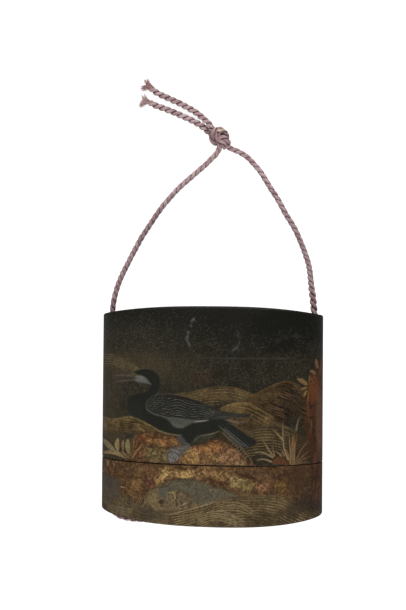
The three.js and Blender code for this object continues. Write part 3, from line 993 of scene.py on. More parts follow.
NEAR_SWELLS = [
    dict(crest=[(-62, -22), (-52, -25), (-46, -25), *x_crest((-37, -24.6), (-32, -26.2), (-28, -28), (-22, -29.6),
                (-15, -30.8), (-10, -31.2))], depth=12,
         colour=(76, 64, 45), edge=0.4, spacing=1.0, lines=0.6, slant=0.3, ink=(110, 94, 64)),
    dict(crest=[*x_crest((-13, -31.4), (-10, -31), (-6, -30), (0, -28.4), (5, -26.4), (10, -25.1), (15, -24.8),
                (20, -24.9), (25, -26), (28, -27.6), (32, -29.6), (36, -31.2)), (48, -33)], depth=14,
         colour=(72, 58, 37), edge=1.1, spacing=0.85, lines=1.0, slant=0.3, ink=(132, 115, 82), from_x=-14),
    dict(crest=[(44, -33), (54, -28), (64, -24), (72, -22.6), (80, -23.6), (90, -27), (98, -29), (106, -28.4),
                (114, -26), (122, -24.4), (130, -25.4)], depth=16,
         colour=(74, 61, 41), edge=0.7, spacing=0.9, lines=1.0, slant=0.25, ink=(120, 102, 70)),
]


def swell(c, crest, depth, colour, edge, spacing, lines, slant, ink, from_x=-99, seed=0):
    crest = rounded(crest, False)
    for turn in (-ROUND, 0, ROUND):
        s = c.s + turn
        inside = (s > crest[0, 0]) & (s < crest[-1, 0])
        if not inside.any():
            continue
        down = np.interp(s, crest[:, 0], crest[:, 1]) - c.y
        bent = np.interp(s + slant * np.maximum(down, 0), crest[:, 0], crest[:, 1]) - c.y
        cover = np.where(inside, np.clip(down / 0.25 + 0.5, 0, 1), 0)
        ends = ramp(s, crest[0, 0], crest[0, 0] + 3) * ramp(s, crest[-1, 0], crest[-1, 0] - 3)
        cover = cover * ends * ramp(down, depth, depth * 0.45)
        mottle = c.fog(2.2, 11 + seed)
        fade = ramp(down, depth, 0)
        tone = 0.8 + 0.28 * fade + 0.35 * (mottle - 0.5) + 0.4 * (c.fog(0.9, 12 + seed, 2) - 0.5)
        tone = np.asarray(colour)[None] * tone[:, None]
        c.paint += (tone / 255 - c.paint) * cover[:, None]
        c.fine *= 1 - cover
        c.gold += (0.35 - c.gold) * cover
        c.dust += (0.3 - c.dust) * cover
        strength = lines * ramp(c.x, from_x, from_x + 5) * ramp(down, 0.3, 1.2) * ramp(down, depth, depth * 0.6)
        uneven = bent / spacing + 0.5 * (c.fog(6, 13 + seed) - 0.5)
        c.lines(cover, uneven, strength * (0.35 + 0.9 * ramp(c.fog(3, 17 + seed), 0.3, 0.7)), ink)
        rim = np.where(inside, np.clip(1 - np.abs(down - 0.12) / 0.24, 0, 1), 0) * ends * edge
        c.brush(rim * (0.4 + 0.9 * c.fog(1.5, 19, 2)), np.asarray(colour) * 1.45, gold=0.7)


HATCHES = [
    # Lines that the brush drew side by side: the first one, the step to the next, how many, width, colour, strength.
    ([(20.2, 4.6), (22.4, 3.8), (24.4, 2.7), (26.4, 1.4)], (0.2, -0.85), 7, 0.5, (24, 13, 7), 1),
    ([(24.6, 3.4), (26.4, 2.4), (28, 1)], (0.1, -0.9), 5, 0.5, (26, 15, 9), 0.9),
    ([(16.8, 6.4), (18.6, 5.6), (20.4, 4.4)], (-0.3, -0.9), 5, 0.36, (40, 26, 14), 0.7),
    ([(20.6, 3.8), (22.8, 3.1), (25, 2)], (0.25, -0.85), 4, 0.28, (112, 86, 58), 0.7),
    ([(22.6, 6.8), (24.6, 6), (27.2, 4.7)], (0.8, 0.6), 5, 0.5, (24, 13, 7), 1),
    ([(23.4, 9.6), (25.4, 9.8), (27.6, 9.2)], (0.1, 0.6), 3, 0.36, (38, 24, 13), 0.7),
    ([(23.2, 7.2), (25, 6.3), (27, 5.4)], (0.9, 0.5), 3, 0.3, (116, 88, 58), 0.77),
    ([(27.4, 10.4), (28.8, 9.8), (30, 8.8)], (0.1, -0.9), 4, 0.3, (84, 70, 52), 0.7),
    ([(17.4, 7.6), (19, 7.9), (20.8, 7.7)], (-0.2, -0.7), 5, 0.28, (96, 82, 50), 0.63),
    ([(1, 7.6), (3.6, 7.9), (6, 7.6)], (0.1, -0.7), 4, 0.28, (112, 92, 58), 0.7),
    ([(1.2, 7.2), (3.8, 7.5), (6.2, 7.2)], (0.1, -0.7), 4, 0.25, (44, 32, 18), 0.7),
    ([(-27, -3.2), (-24.6, -2.6), (-22, -3.4), (-19.6, -4.8)], (0.2, -0.6), 4, 0.42, (38, 23, 10), 1),
    ([(-26, -3.4), (-24, -3), (-22, -3.6), (-19.8, -4.8)], (0.25, -0.62), 4, 0.26, (128, 108, 70), 0.84),
    ([(-35.4, -6.4), (-33, -7.2), (-31, -8.4)], (0.2, -0.8), 4, 0.28, (52, 46, 38), 0.7),
    ([(15, -4.2), (18, -3.7), (21, -3.8)], (0.2, -0.8), 5, 0.3, (108, 92, 60), 0.63),
]
NEAR_HATCHES = [
    ([(3, -27.5), (6.5, -27.2), (10, -27.5), (13, -28.5),
      (15.6, -30.2)], (0.15, -0.62), 5, 0.28, (134, 116, 82), 0.91),
    ([(3, -27.8), (6.5, -27.5), (10, -27.8), (13, -28.8), (15.6, -30.5)], (0.15, -0.62), 5, 0.24, (60, 48, 31), 0.63),
    ([(-3, -31.7), (0.6, -30.7), (4, -30.2), (7.4, -30.8), (11, -32.4),
      (13, -33.8)], (-0.1, -0.7), 5, 0.3, (132, 116, 84), 0.84),
    ([(16, -30), (19, -30.8), (22.6, -32.6), (25, -34)], (-1.2, -0.7), 4, 0.3, (56, 44, 27), 0.77),
    ([(18.6, -26), (22, -28), (25, -30.4), (27.4, -32.4)], (1.2, 0.35), 4, 0.3, (104, 88, 56), 0.7),
    ([(-8, -32.4), (-4, -31.4), (-1, -30.6)], (0.4, -0.75), 4, 0.28, (122, 106, 76), 0.7),
    ([(-36, -29.6), (-32, -30.8), (-28, -31.4), (-24, -32)], (0, -0.75), 4, 0.3, (112, 97, 76), 0.7),
]
RIPPLES = [
    ([(-24.8, -26.2), (-24.4, -27.8), (-24.8, -29.4)], (0.62, 0.05), 6, 0.3, (122, 96, 66), 0.84),
    ([(-24.5, -26.2), (-24.1, -27.8), (-24.5, -29.4)], (0.62, 0.05), 6, 0.26, (58, 40, 24), 0.84),
    ([(-21, -25), (-20.4, -27), (-20.8, -29), (-22, -30.8)], (0.75, 0), 4, 0.3, (106, 92, 62), 0.84),
    ([(-28.6, -25.6), (-27.2, -27), (-27, -28.8), (-28.2, -30.4)], (-0.9, -0.1), 3, 0.32, (102, 92, 60), 0.7),
    ([(-27.4, -24.7), (-24.8, -25.5), (-22.6, -26.8)], (0.2, -0.7), 3, 0.35, (118, 92, 60), 0.84),
]


def hatch(c, first, step, count, width, colour, amount):
    """Strokes side by side, none quite like the next."""
    for i in range(count):
        line = []
        for j, (x, y) in enumerate(first):
            off = (hashed(i, j, 5, 1) - 0.5, hashed(i, j, 7, 2) - 0.5)
            line.append((x + step[0] * i + 0.5 * off[0], y + step[1] * i + 0.22 * off[1]))
        broken = 0.75 + 0.6 * c.fog(1.3, 23, 2)
        c.brush(c.stroke(line, 1.35 * width, soft=0.2) * amount * broken, colour, gold=0.3)


# %% [markdown]
# ### Rocks and water
# The rocks are the brightest gold, over a red-brown ground that shows through as mottling. Between
# the rocks and the near swell lies still water, grey-blue with one pale whirl.

# %% Rocks and water
LEFT_ROCK = [(-25.3, -8), (-23.4, -6.4), (-20, -5.4), (-17, -5.2), (-14, -5.9), (-11, -6.1), (-9.4, -6.8), (-8.4, -9),
             (-8, -12), (-8, -16.5), (-26, -16.5), (-27, -12)]
RIGHT_ROCK = [(-9.4, -16.5), (-8.4, -13), (-7, -11.2), (-5.4, -9.8), (-3.4, -8.8), (-0.4, -8.4), (1.4, -7.4),
              (3, -6.9), (4.6, -7.3), (6.2, -8.2), (8.2, -8.8), (10.4, -10.2), (12.2, -12.2), (13.6, -14.2),
              (14.4, -16.5)]
LOWER_ROCK = [(-37.3, -14.8), (-37.3, -20.6), (-30, -22), (-29, -26.4), (-23, -27.4), (-18.6, -25.6), (-16.6, -23.4),
              (-13.6, -21.6), (-9, -20.5), (-5, -20.3), (-2, -20.8), (1, -22), (5, -22.8), (8, -24), (12, -24.9),
              (20, -24.9), (26, -26), (30, -28.4), (33.4, -29), (34.5, -20), (34.5, -14.8)]
STONE_DARK = (52, 33, 18)
ROCK_PATCHES = [
    # Centre, reach across and up, colour, strength.
    ((-20, -7.6), (4.5, 2.2), (108, 74, 44), 0.8), ((-13, -8.2), (4, 2.4), (110, 80, 46), 0.9),
    ((-16, -12.6), (5, 3), (92, 79, 50), 0.9), ((-23, -11), (2.6, 4), (100, 72, 43), 0.8),
    ((-5, -12.4), (3.2, 3.2), (138, 108, 68), 0.9), ((1.4, -12.6), (2.8, 3.2), (130, 102, 64), 0.7),
    ((7, -12.6), (3, 3), (122, 90, 64), 0.8), ((12, -14), (1.6, 2), (104, 76, 46), 0.6),
    ((3, -8.6), (4, 1.3), (108, 76, 45), 0.8), ((-3, -10), (2.5, 0.9), (120, 84, 56), 0.6),
    ((-12, -18.6), (4, 2), (140, 110, 67), 0.95), ((-6.5, -18.8), (4.4, 1.8), (144, 117, 73), 0.95),
    ((-0.5, -17.8), (4.5, 1.7), (128, 98, 65), 0.85), ((5.5, -18.6), (4, 2), (124, 98, 61), 0.85),
    ((9.4, -20.6), (2.2, 1.6), (140, 118, 72), 0.95), ((12.6, -22), (3, 2.4), (110, 92, 56), 0.9),
    ((17.4, -22.6), (2.4, 1.6), (122, 88, 60), 0.9), ((-16, -21.4), (2.4, 2), (116, 88, 54), 0.8),
    ((-23, -22.6), (3.4, 2), (106, 84, 52), 0.8), ((-27.4, -22), (2, 1.8), (98, 70, 44), 0.7),
    ((-28, -18), (6, 2), (84, 64, 45), 0.8), ((-19, -18), (3.4, 2), (102, 74, 50), 0.7),
    ((-18.6, -22), (1.8, 2.2), (98, 64, 48), 0.8), ((24.4, -22), (2.8, 2.6), (96, 72, 38), 0.8),
    ((19, -18), (5, 2), (84, 63, 42), 0.7), ((27, -18), (4, 3), (80, 56, 37), 0.6),
    ((30, -25.6), (2.4, 2), (78, 55, 40), 0.6), ((1.5, -14.6), (8, 1.2), (120, 94, 62), 0.5),
    ((-13.6, -19.4), (1.9, 1.5), (162, 136, 84), 0.85), ((-7.2, -19), (2.8, 1.2), (154, 126, 80), 0.85),
    ((-2.6, -19), (1.6, 1.2), (152, 122, 80), 0.7), ((-15.8, -21), (1.8, 1.3), (146, 116, 72), 0.8),
    ((9.6, -20.8), (2, 1.7), (146, 128, 84), 0.75), ((12.8, -22.2), (2.2, 2), (116, 100, 60), 0.7),
    ((18.4, -22.4), (2.8, 1.4), (122, 88, 62), 0.6), ((24, -22.4), (2.2, 2.6), (104, 80, 42), 0.6),
    ((-5.6, -13.4), (3, 3), (146, 114, 68), 0.8), ((7.6, -12.8), (4, 3), (134, 100, 70), 0.7),
    ((2, -10.4), (4.4, 1.5), (138, 96, 58), 0.8), ((11, -14.4), (1.8, 1.2), (150, 126, 90), 0.7),
    ((-14.6, -8.6), (4.8, 1.4), (126, 90, 54), 0.85), ((-16.6, -12.8), (4.2, 2.6), (104, 90, 56), 0.8),
    ((-22.2, -8.4), (1.4, 1.8), (118, 74, 50), 0.7), ((-22.4, -12.6), (2, 2.4), (112, 80, 52), 0.7),
    ((-19, -21.4), (1.8, 1.8), (98, 66, 50), 0.6), ((-23.6, -23), (2.4, 1.8), (114, 84, 52), 0.7),
]
SHADY = [
    # Where the ground stays dark: centre, reach across and up, colour, strength.
    ((29.5, -20), (4.5, 6), (64, 46, 31), 0.75), ((31, -28.5), (5, 3), (50, 41, 33), 0.6),
    ((34.5, -30), (4, 5), (52, 44, 37), 0.5), ((-19.5, -32), (4.4, 3), (62, 52, 41), 0.7),
    ((28, 4), (3.4, 6), (50, 39, 29), 0.55), ((23.5, -1.8), (3.6, 2.4), (54, 41, 30), 0.55),
    ((-30.5, -8.6), (5, 2.4), (66, 58, 42), 0.55), ((24, -33), (7, 3), (62, 50, 34), 0.6),
    ((19, -14.6), (3, 1), (58, 46, 30), 0.5), ((28, -30), (4, 3), (56, 44, 32), 0.6),
    ((34.6, -24), (2.6, 8), (46, 38, 34), 0.6),
]
ROCK_LINES = [
    # The darker brown outlines and cracks, with their widths.
    ([(-25.2, -8.2), (-23.4, -6.6), (-20, -5.6), (-17, -5.4), (-14, -6.1), (-11, -6.3), (-9.2, -7)], 0.5),
    ([(-24.6, -5.6), (-22.6, -6.8), (-20.4, -9.8), (-22.8, -12.6), (-25.4, -14.8)], 0.35),
    ([(-20, -10.4), (-16.5, -10.2), (-12.5, -10.3)], 0.3),
    ([(-7.6, -11.6), (-5.6, -9.9), (-3.4, -8.9), (-0.4, -8.5), (1.4, -7.5), (3, -7), (4.6, -7.4), (6.2, -8.3)], 0.45),
    ([(5.4, -7.8), (8.2, -8.9), (10.4, -10.3), (12.2, -12.3), (13.6, -14.3), (14.2, -15.4)], 0.6),
    ([(9, -17.4), (11, -18.2), (13.4, -19), (15.8, -19.8), (17, -20.6)], 0.5),
    ([(-14.8, -17), (-15.4, -19.4), (-17.4, -21.6), (-17, -23.4)], 0.4),
    ([(0, -20), (3, -20.6), (5.4, -22), (7, -23.4)], 0.4), ([(-2, -16.2), (-1.6, -18), (0.2, -19.6)], 0.3),
    ([(-26.4, -17), (-25, -20), (-26.6, -22.4)], 0.35), ([(-29.6, -19.6), (-24.6, -21), (-20.6, -20)], 0.35),
    ([(-21.4, -22), (-20.4, -25), (-22.4, -27)], 0.4), ([(20.4, -16.6), (22, -20), (20.6, -24)], 0.3),
    ([(25.4, -17), (26.6, -20), (26, -24)], 0.35), ([(28.4, -17.4), (31.4, -17)], 0.3),
    ([(-20.4, -6.9), (-17, -7.3), (-14, -7.4), (-11, -7.2)], 0.5), ([(-20, -10.4), (-17, -10.7), (-14, -10.4)], 0.4),
    ([(-21.4, -8), (-23, -10.4), (-24.6, -13.4)], 0.5),
    ([(9.6, -17.9), (11.6, -18.6), (14, -19), (16.4, -20), (18.4, -21.4)], 0.9),
    ([(3.6, -20), (4.4, -21.4), (6, -22)], 0.5),
]
BACK_ROCK = [(66, -18), (69, -14), (73, -12.2), (78, -11.6), (82, -12.8), (85, -12), (90, -11), (95, -12.6),
             (99, -15.6), (102, -19.6), (98, -22.6), (90, -23.4), (80, -22.4), (72, -22)]
BED = [(-19.4, -25.4), (-16.6, -23.6), (-13.4, -22), (-9, -20.9), (-5, -20.7), (-1.8, -21.2), (1, -22.4), (5, -23.2),
       (8.6, -24.4), (10, -25.2), (5, -26.6), (0, -28.6), (-6, -30.2), (-11, -31.2), (-17, -30.6), (-20, -28.4)]
WATER = [(-15.6, -23.4), (-13, -22.5), (-11.4, -21.4), (-8, -20.8), (-5, -20.6), (-1.8, -21.2), (1, -22.4),
         (5, -23.4), (8.6, -24.6), (6, -25.7), (2, -27.2), (-1, -28.3), (-4, -28.2), (-4.6, -26), (-5.2, -24.8),
         (-8, -24.2), (-10.2, -24.1), (-12.2, -24.6), (-13.2, -26), (-13.4, -27.4), (-14.4, -27), (-15.6, -25.4)]
STILL = [(-35.6, -21.8), (-33, -21.4), (-30.2, -22.6), (-29.6, -25), (-30.4, -27.6), (-32.4, -29), (-35, -28.4),
         (-36, -25)]
WHIRL = [
    # Line, width, colour.
    ([(-12.9, -25.1), (-11.6, -24.7), (-10.5, -25.1), (-10.1, -26.3), (-10.4, -27.7)], 0.6, (142, 126, 86)),
    ([(-12, -25.8), (-11.3, -26.6), (-11.4, -28), (-12.6, -29)], 0.35, (116, 104, 82)),
    ([(-9.7, -27.2), (-8.8, -27.8), (-8.6, -28.9), (-9.6, -29.8)], 0.4, (128, 112, 88)),
    ([(-8.2, -29), (-7.4, -28.5), (-6.7, -27.9), (-5.8, -27.9)], 0.42, (146, 132, 106)),
    ([(-15.2, -31.9), (-12, -31.8), (-9.6, -31.3), (-7, -30.4), (-4.6, -29.7), (-2, -28.9), (1.4, -27.8),
      (4.4, -26.8)], 0.42,
     (136, 118, 86)),
    ([(-14, -29.9), (-11.6, -30.4), (-8.6, -30), (-6, -29)], 0.3, (112, 98, 74)),
    ([(-12, -22.6), (-10, -21.9), (-7, -21.6)], 0.3, (104, 98, 82)),
    ([(1, -23.6), (2.4, -23.4), (3.6, -23.8)], 0.3, (112, 108, 96)),
    ([(-16, -23.6), (-14.4, -23.2), (-12.4, -22.4), (-10.6, -21.4)], 0.4, (58, 46, 30)),
]
EDDY = (-14.6, -27.9)
SPRAY = [(8.6, -8.5), (9.4, -9.1), (10.2, -9.7), (11, -10.3), (11.8, -10.9), (12.5, -11.6), (13, -12.4),
         (10.4, -10.9), (11.2, -11.6), (12, -12.3), (12.6, -13.1)]


def mottled(c, cover, seed):
    """Gold laid in grains over the red-brown ground."""
    grain = c.fog(0.9, seed, 2)
    patch = c.fog(2.6, seed + 3)
    c.brush(cover, (80, 56, 34), gold=0.8, dust=0.3)
    c.brush(cover * ramp(patch, 0.45, 0.8) * 0.7, (108, 80, 50), gold=0.9)
    c.brush(cover * ramp(grain, 0.55, 0.85) * 0.6, STONE_DARK)
    c.brush(cover * ramp(grain, 0.4, 0.1) * 0.45, (134, 106, 68))


def rocks(c):
    shore = ramp(c.y, -18.5, -21.5) * ramp(np.abs(c.s), 44, 36)
    tone = 0.85 + 0.4 * (c.fog(1.1, 46, 2) - 0.5)
    c.brush(shore * 0.95, (84, 70, 48), gold=0.4, dust=0.3)
    c.paint *= (1 + (tone - 1) * shore)[:, None]
    lower = c.shape(LOWER_ROCK, 0.5, rough=0.5, seed=31) * ramp(c.y, LOWER_JOINT + 0.4, LOWER_JOINT - 0.2)
    left = c.shape(LEFT_ROCK, 0.35, rough=0.35, seed=32) * ramp(c.y, LOWER_JOINT - 0.2, LOWER_JOINT + 0.2)
    right = c.shape(RIGHT_ROCK, 0.35, rough=0.25, seed=33) * ramp(c.y, LOWER_JOINT - 0.2, LOWER_JOINT + 0.2)
    back = c.shape(BACK_ROCK, 0.5, front=False, rough=0.6, seed=34)
    back = np.maximum(back, c.shape([(s - ROUND, y) for s, y in BACK_ROCK], 0.5, front=False, rough=0.6, seed=34))
    whole = np.maximum.reduce([lower, left, right, back])
    mottled(c, whole, 35)
    grain = c.fog(0.75, 41, 1)
    for (x, y), (wide, high), colour, strength in ROCK_PATCHES:
        reach = np.hypot((c.x - x) / wide, (c.y - y) / high)
        cover = ramp(reach + 0.8 * (c.fog(1.4, 43, 2) - 0.5), 1.2, 0.5) * strength * whole * c.front
        c.brush(cover, colour, gold=1, dust=0.1)
        c.brush(cover * ramp(grain, 0.52, 0.85) * 0.6, np.asarray(colour) * 0.5 + (8, 0, 0))
        c.brush(cover * ramp(grain, 0.42, 0.12) * 0.45, np.asarray(colour) * 1.25)
    for drawn, width in ROCK_LINES:
        c.brush(c.stroke(drawn, width, soft=0.35) * 0.85 * (0.5 + 0.7 * c.fog(1.2, 44, 2)), STONE_DARK, gold=0.1)


def shade(c):
    for (x, y), (wide, high), colour, strength in SHADY:
        reach = np.hypot((c.x - x) / wide, (c.y - y) / high)
        c.brush(ramp(reach + 0.4 * (c.fog(1.8, 43, 2) - 0.5), 1.2, 0.4) * strength * c.front, colour, gold=0.3)


def water(c):
    bed = c.shape(BED, 0.9, rough=0.6, seed=51)
    grain = c.fog(0.8, 54, 1)
    c.brush(bed * 0.9, (96, 82, 60), gold=0.6, dust=0.3)
    c.brush(bed * ramp(grain, 0.5, 0.8) * 0.6, (68, 52, 36), gold=0.5)
    c.brush(bed * ramp(grain, 0.4, 0.15) * 0.5, (124, 100, 72), gold=0.8)
    calm = c.shape(WATER, 1.1, rough=0.7, seed=53)
    tone = c.fog(1.8, 53)
    c.brush(calm * 0.8, (84, 80, 65), gold=0.35, dust=0.3)
    c.brush(calm * ramp(tone, 0.45, 0.8) * 0.5, (106, 97, 78), gold=0.4)
    c.brush(calm * ramp(c.fog(0.9, 56, 2), 0.55, 0.85) * 0.4, (62, 56, 46), gold=0.4)
    c.brush(calm * ramp(c.x, -11.5, -14) * 0.5, (78, 74, 70), gold=0.3)
    still = c.shape(STILL, 2.2, rough=0.9, seed=52)
    c.brush(still * 0.6, (80, 72, 66), gold=0.3, dust=0.15)
    c.brush(still * ramp(tone, 0.5, 0.8) * 0.5, (60, 55, 52), gold=0.3)
    for drawn in RIPPLES:
        hatch(c, *drawn)
    dark = c.spot(*EDDY, 1.0, 0.9, 1.2, 0.4)
    c.brush(dark * 0.85, (42, 33, 19))
    for radius in (1.5, 2.25, 3.0, 3.75):
        turns = np.linspace(math.radians(115), math.radians(265), 7)
        arc = [(EDDY[0] + radius * math.cos(a), EDDY[1] + 0.85 * radius * math.sin(a)) for a in turns]
        c.brush(c.stroke(arc, 0.42) * 0.9, (128, 111, 72), gold=0.5)
    for drawn, width, colour in WHIRL:
        c.brush(c.stroke(drawn, width) * 0.85, colour, gold=0.5)
    for x, y in SPRAY:
        c.brush(c.stroke([(x - 0.25, y + 0.15), (x, y), (x + 0.2, y - 0.2)], 0.5) * 0.75, (126, 110, 86), gold=0.6)


# %% [markdown]
# ### Plants and the trunk
# A fan of pale lens-shaped leaves at the left, a clump of reeds at the right, and at the right edge
# a red-brown trunk with small pointed leaves, which runs on round the side.

# %% Plants and the trunk
LEAVES = [
    # Midline, width, colour.
    ([(-27.2, -14.7), (-29.6, -13.6), (-33, -13.2), (-36.9, -14.3)], 1.6, (132, 114, 80)),
    ([(-31.2, -12.7), (-33.2, -11.6), (-35, -10.5), (-37, -9.6)], 2.1, (126, 114, 86)),
    ([(-30.2, -12.6), (-30.6, -10.6), (-30.2, -8.2)], 1.9, (136, 116, 78)),
    ([(-28.1, -12.4), (-28.5, -10.6), (-28.2, -8.8)], 1.1, (124, 100, 80)),
    ([(-26.1, -13.3), (-26.6, -10.8), (-26.5, -8.2)], 1.9, (122, 114, 80)),
    ([(-25.8, -14.8), (-27.4, -13.6), (-29, -12.3)], 0.8, (124, 104, 72)),
    ([(-25.2, -14.9), (-23.8, -12.6), (-21.4, -9.8)], 1.0, (126, 96, 66)),
    ([(-34.2, -16), (-34.3, -18.2)], 1.0, (124, 110, 92)),
    ([(-32.4, -16), (-31.8, -17), (-31.6, -18.6)], 0.9, (112, 90, 68)),
    ([(-29.4, -24.3), (-27.2, -24.4)], 0.5, (140, 122, 98)), ([(-25.6, -25.2), (-22.6, -26.6)], 0.5, (116, 90, 58)),
    ([(-24.3, -7.6), (-24.5, -9), (-24.2, -10.4)], 0.5, (112, 96, 66)),
]
REED_PALE = (110, 90, 64)
REED_SHADE = (88, 68, 48)
REEDS = [
    # Line from the root to the tip, width, colour.
    ([(28.6, -14.4), (30, -11.4), (31.6, -9), (33.4, -7.2)], 0.5, REED_SHADE),
    ([(28.8, -14.6), (31.4, -12.4), (33.8, -10.4)], 0.5, REED_SHADE),
    ([(29, -15), (31.6, -13.6), (34, -12.8)], 0.45, REED_SHADE),
    ([(28.8, -15.2), (31.4, -14.8), (33.6, -14.9)], 0.4, REED_SHADE),
    ([(28.2, -15), (28.4, -10), (29, -5.4)], 0.6, (96, 70, 44)),
    ([(27.5, -15.3), (27.5, -10), (27.8, -5)], 1.1, (102, 78, 56)),
    ([(27.1, -15.2), (26.8, -10), (26.4, -4.8)], 0.4, REED_PALE),
    ([(28.2, -15.2), (28.1, -10), (28.3, -5.2)], 0.35, REED_PALE),
    ([(26.9, -14.8), (26.2, -12), (25.5, -10.2)], 0.4, REED_PALE),
    ([(26.2, -13.6), (24.9, -10), (24.5, -6), (24.4, -0.6)], 0.5, (116, 98, 70)),
    ([(24.6, -7.4), (23, -5.6), (21.2, -3.6)], 0.5, (116, 98, 70)),
    ([(28.7, -4.2), (29.1, -2.2), (29.8, 0.2)], 0.55, (90, 82, 64)),
    ([(21.4, -12.4), (20, -10.4), (18.9, -8.6), (17.9, -6.8)], 0.5, (114, 96, 68)),
    ([(21.6, -12.6), (20.7, -11.4), (20, -10.2)], 0.4, REED_PALE),
    ([(21.9, -12.4), (21.5, -10.8), (21.1, -9)], 0.35, REED_PALE),
    ([(21.2, -12.8), (19, -11.6), (17, -11.1), (14.8, -11.4)], 0.5, (112, 96, 70)),
    ([(20.8, -14.2), (19, -13.5), (17.4, -13.4), (16, -13.9)], 0.5, (112, 96, 70)),
    ([(24, -12.4), (23, -11.4), (21.8, -10.8)], 0.45, (108, 92, 70)),
    ([(25, -12.4), (24.4, -11.2), (24, -10)], 0.4, REED_PALE),
    ([(14, -13), (14.6, -14.4), (15, -15.2)], 0.4, REED_SHADE),
]
MOUND = [(21.2, -15), (21.8, -13.4), (23.2, -12.5), (24.6, -12.8), (25.8, -14.2), (26.2, -15.2)]
TRUNK = [(36, 20.4), (35, 18.6), (34.2, 15.4), (32.8, 12.4), (31.9, 10), (31.4, 6.6), (31.9, 3), (31.6, -1),
         (31.6, -5), (32.4, -9), (33, -14), (33.6, -20), (34, -27)]
TRUNK_LEAVES = [
    ([(35.7, 15.4), (35.3, 17), (35, 18.9)], 1.1, (116, 90, 72)),
    ([(34.9, 13.6), (34.1, 14.5), (32.9, 15)], 1.1, (116, 98, 74)),
    ([(32.9, 10.6), (33, 12), (33.1, 13.6)], 0.9, (106, 86, 58)),
    ([(32.4, 10.2), (30.9, 11.4), (28.9, 12.5)], 1.5, (120, 104, 70)),
    ([(32.4, 9.5), (31.2, 9.2), (29.9, 8.8)], 1.0, (120, 100, 66)),
    ([(32.2, 8.6), (31.6, 7.6), (31.1, 6.3)], 1.0, (116, 100, 66)),
    ([(32.7, 8.6), (32.6, 6.2), (32.2, 3.6)], 0.7, (112, 82, 60)),
    ([(34.4, 10.6), (33.8, 11.8), (33.5, 12.8)], 0.6, (112, 84, 56)),
]
BACK_REEDS = [
    ([(104, -16), (104.6, -9), (105.4, -2.6)], 0.6), ([(104, -16), (102.6, -10), (100, -5)], 0.5),
    ([(104.2, -16), (107, -10.6), (110.4, -7)], 0.5), ([(104, -16), (100.6, -12.6), (97, -10.6)], 0.5),
    ([(104.2, -16), (108.4, -13.6), (112, -12.6)], 0.45),
]


def plants(c):
    mound = c.shape(MOUND, 0.6, rough=0.2, seed=61)
    c.brush(mound * 0.9, (94, 58, 36), gold=0.3, dust=0.3)
    dark = c.spot(27.8, -2.8, 2.4, 3, 1.1, 0.4)
    c.brush(dark * 0.5, (48, 46, 40), gold=0.05)
    tangle = c.spot(29, -10, 6, 5.6, 1.15, 0.6)
    c.brush(tangle * 0.55, (56, 42, 29), gold=0.2)
    for drawn, width, colour in LEAVES:
        c.brush(c.stroke(drawn, width + 0.6, soft=0.35) * 0.85, (50, 35, 19), gold=0.1)
        c.brush(c.stroke(drawn, width) * (0.75 + 0.35 * c.fog(1.0, 65, 2)), colour, gold=0.4, dust=0.05)
    for drawn, width, colour in REEDS:
        c.brush(c.stroke(drawn, width + 0.4, "end", 0.35) * 0.6, (44, 32, 20), gold=0.1)
        c.brush(c.stroke(drawn, width + 0.1, "end"), np.asarray(colour) * 1.2, gold=0.3, dust=0.05)
    for drawn, width in BACK_REEDS:
        for turn in (0, -ROUND):
            line = [(s + turn, y) for s, y in drawn]
            c.brush(c.stroke(line, width, "end", front=False), (104, 86, 58), gold=0.4)


def trunk(c):
    left = rounded([(on_front(x), y) for x, y in TRUNK][::-1], False)
    order = np.argsort(left[:, 1])
    side = np.interp(c.y, left[order, 1], left[order, 0])
    far = 55 + 1.4 * np.sin(c.y / 4.1) + 0.6 * np.sin(c.y / 1.7)
    bark = c.fog(2.0, 71)
    cover = ramp(c.s + 2.2 * (bark - 0.5), side - 0.7, side + 1.1) * ramp(c.s, far + 0.6, far - 0.6)
    cover = cover * ramp(c.y, 20.5, 17.5) * ramp(c.y, -31, -25)
    c.brush(cover * 0.95, (68, 42, 26), gold=0.4, dust=0.2)
    streak = c.fog(1.3, 72, 2)
    stretched = fog(c.points * [1, 0.25, 1], 1.1, 73, 2)
    c.brush(cover * ramp(stretched, 0.5, 0.8) * 0.7, (98, 62, 44), gold=0.5)
    c.brush(cover * ramp(streak, 0.6, 0.85) * 0.6, (40, 25, 18), gold=0.3)
    bright = c.spot(34.4, 9, 2, 6) * cover
    c.brush(bright * 0.7, (118, 66, 34), gold=0.6)
    pale = c.spot(36.4, -2, 1.6, 14) * cover
    c.brush(pale * 0.7, (108, 76, 60), gold=0.4)
    c.brush(c.stroke([(33.4, -0.6), (33.7, -3), (33.3, -6)], 0.6) * 0.6, (104, 78, 58), gold=0.4)
    for drawn, width, colour in TRUNK_LEAVES:
        c.brush(c.stroke(drawn, width + 0.5, soft=0.35) * 0.7, (36, 25, 16), gold=0.1)
        c.brush(c.stroke(drawn, width), np.asarray(colour) * (0.98, 0.92, 0.86), gold=0.4)


# %% [markdown]
# ### The bird
# A water bird of no one's own style, standing on the rock and looking left: black head, neck and breast, a grey cheek
# and flank, and a slate wing and tail with fine pale feather lines. Two pale lines are its bill.

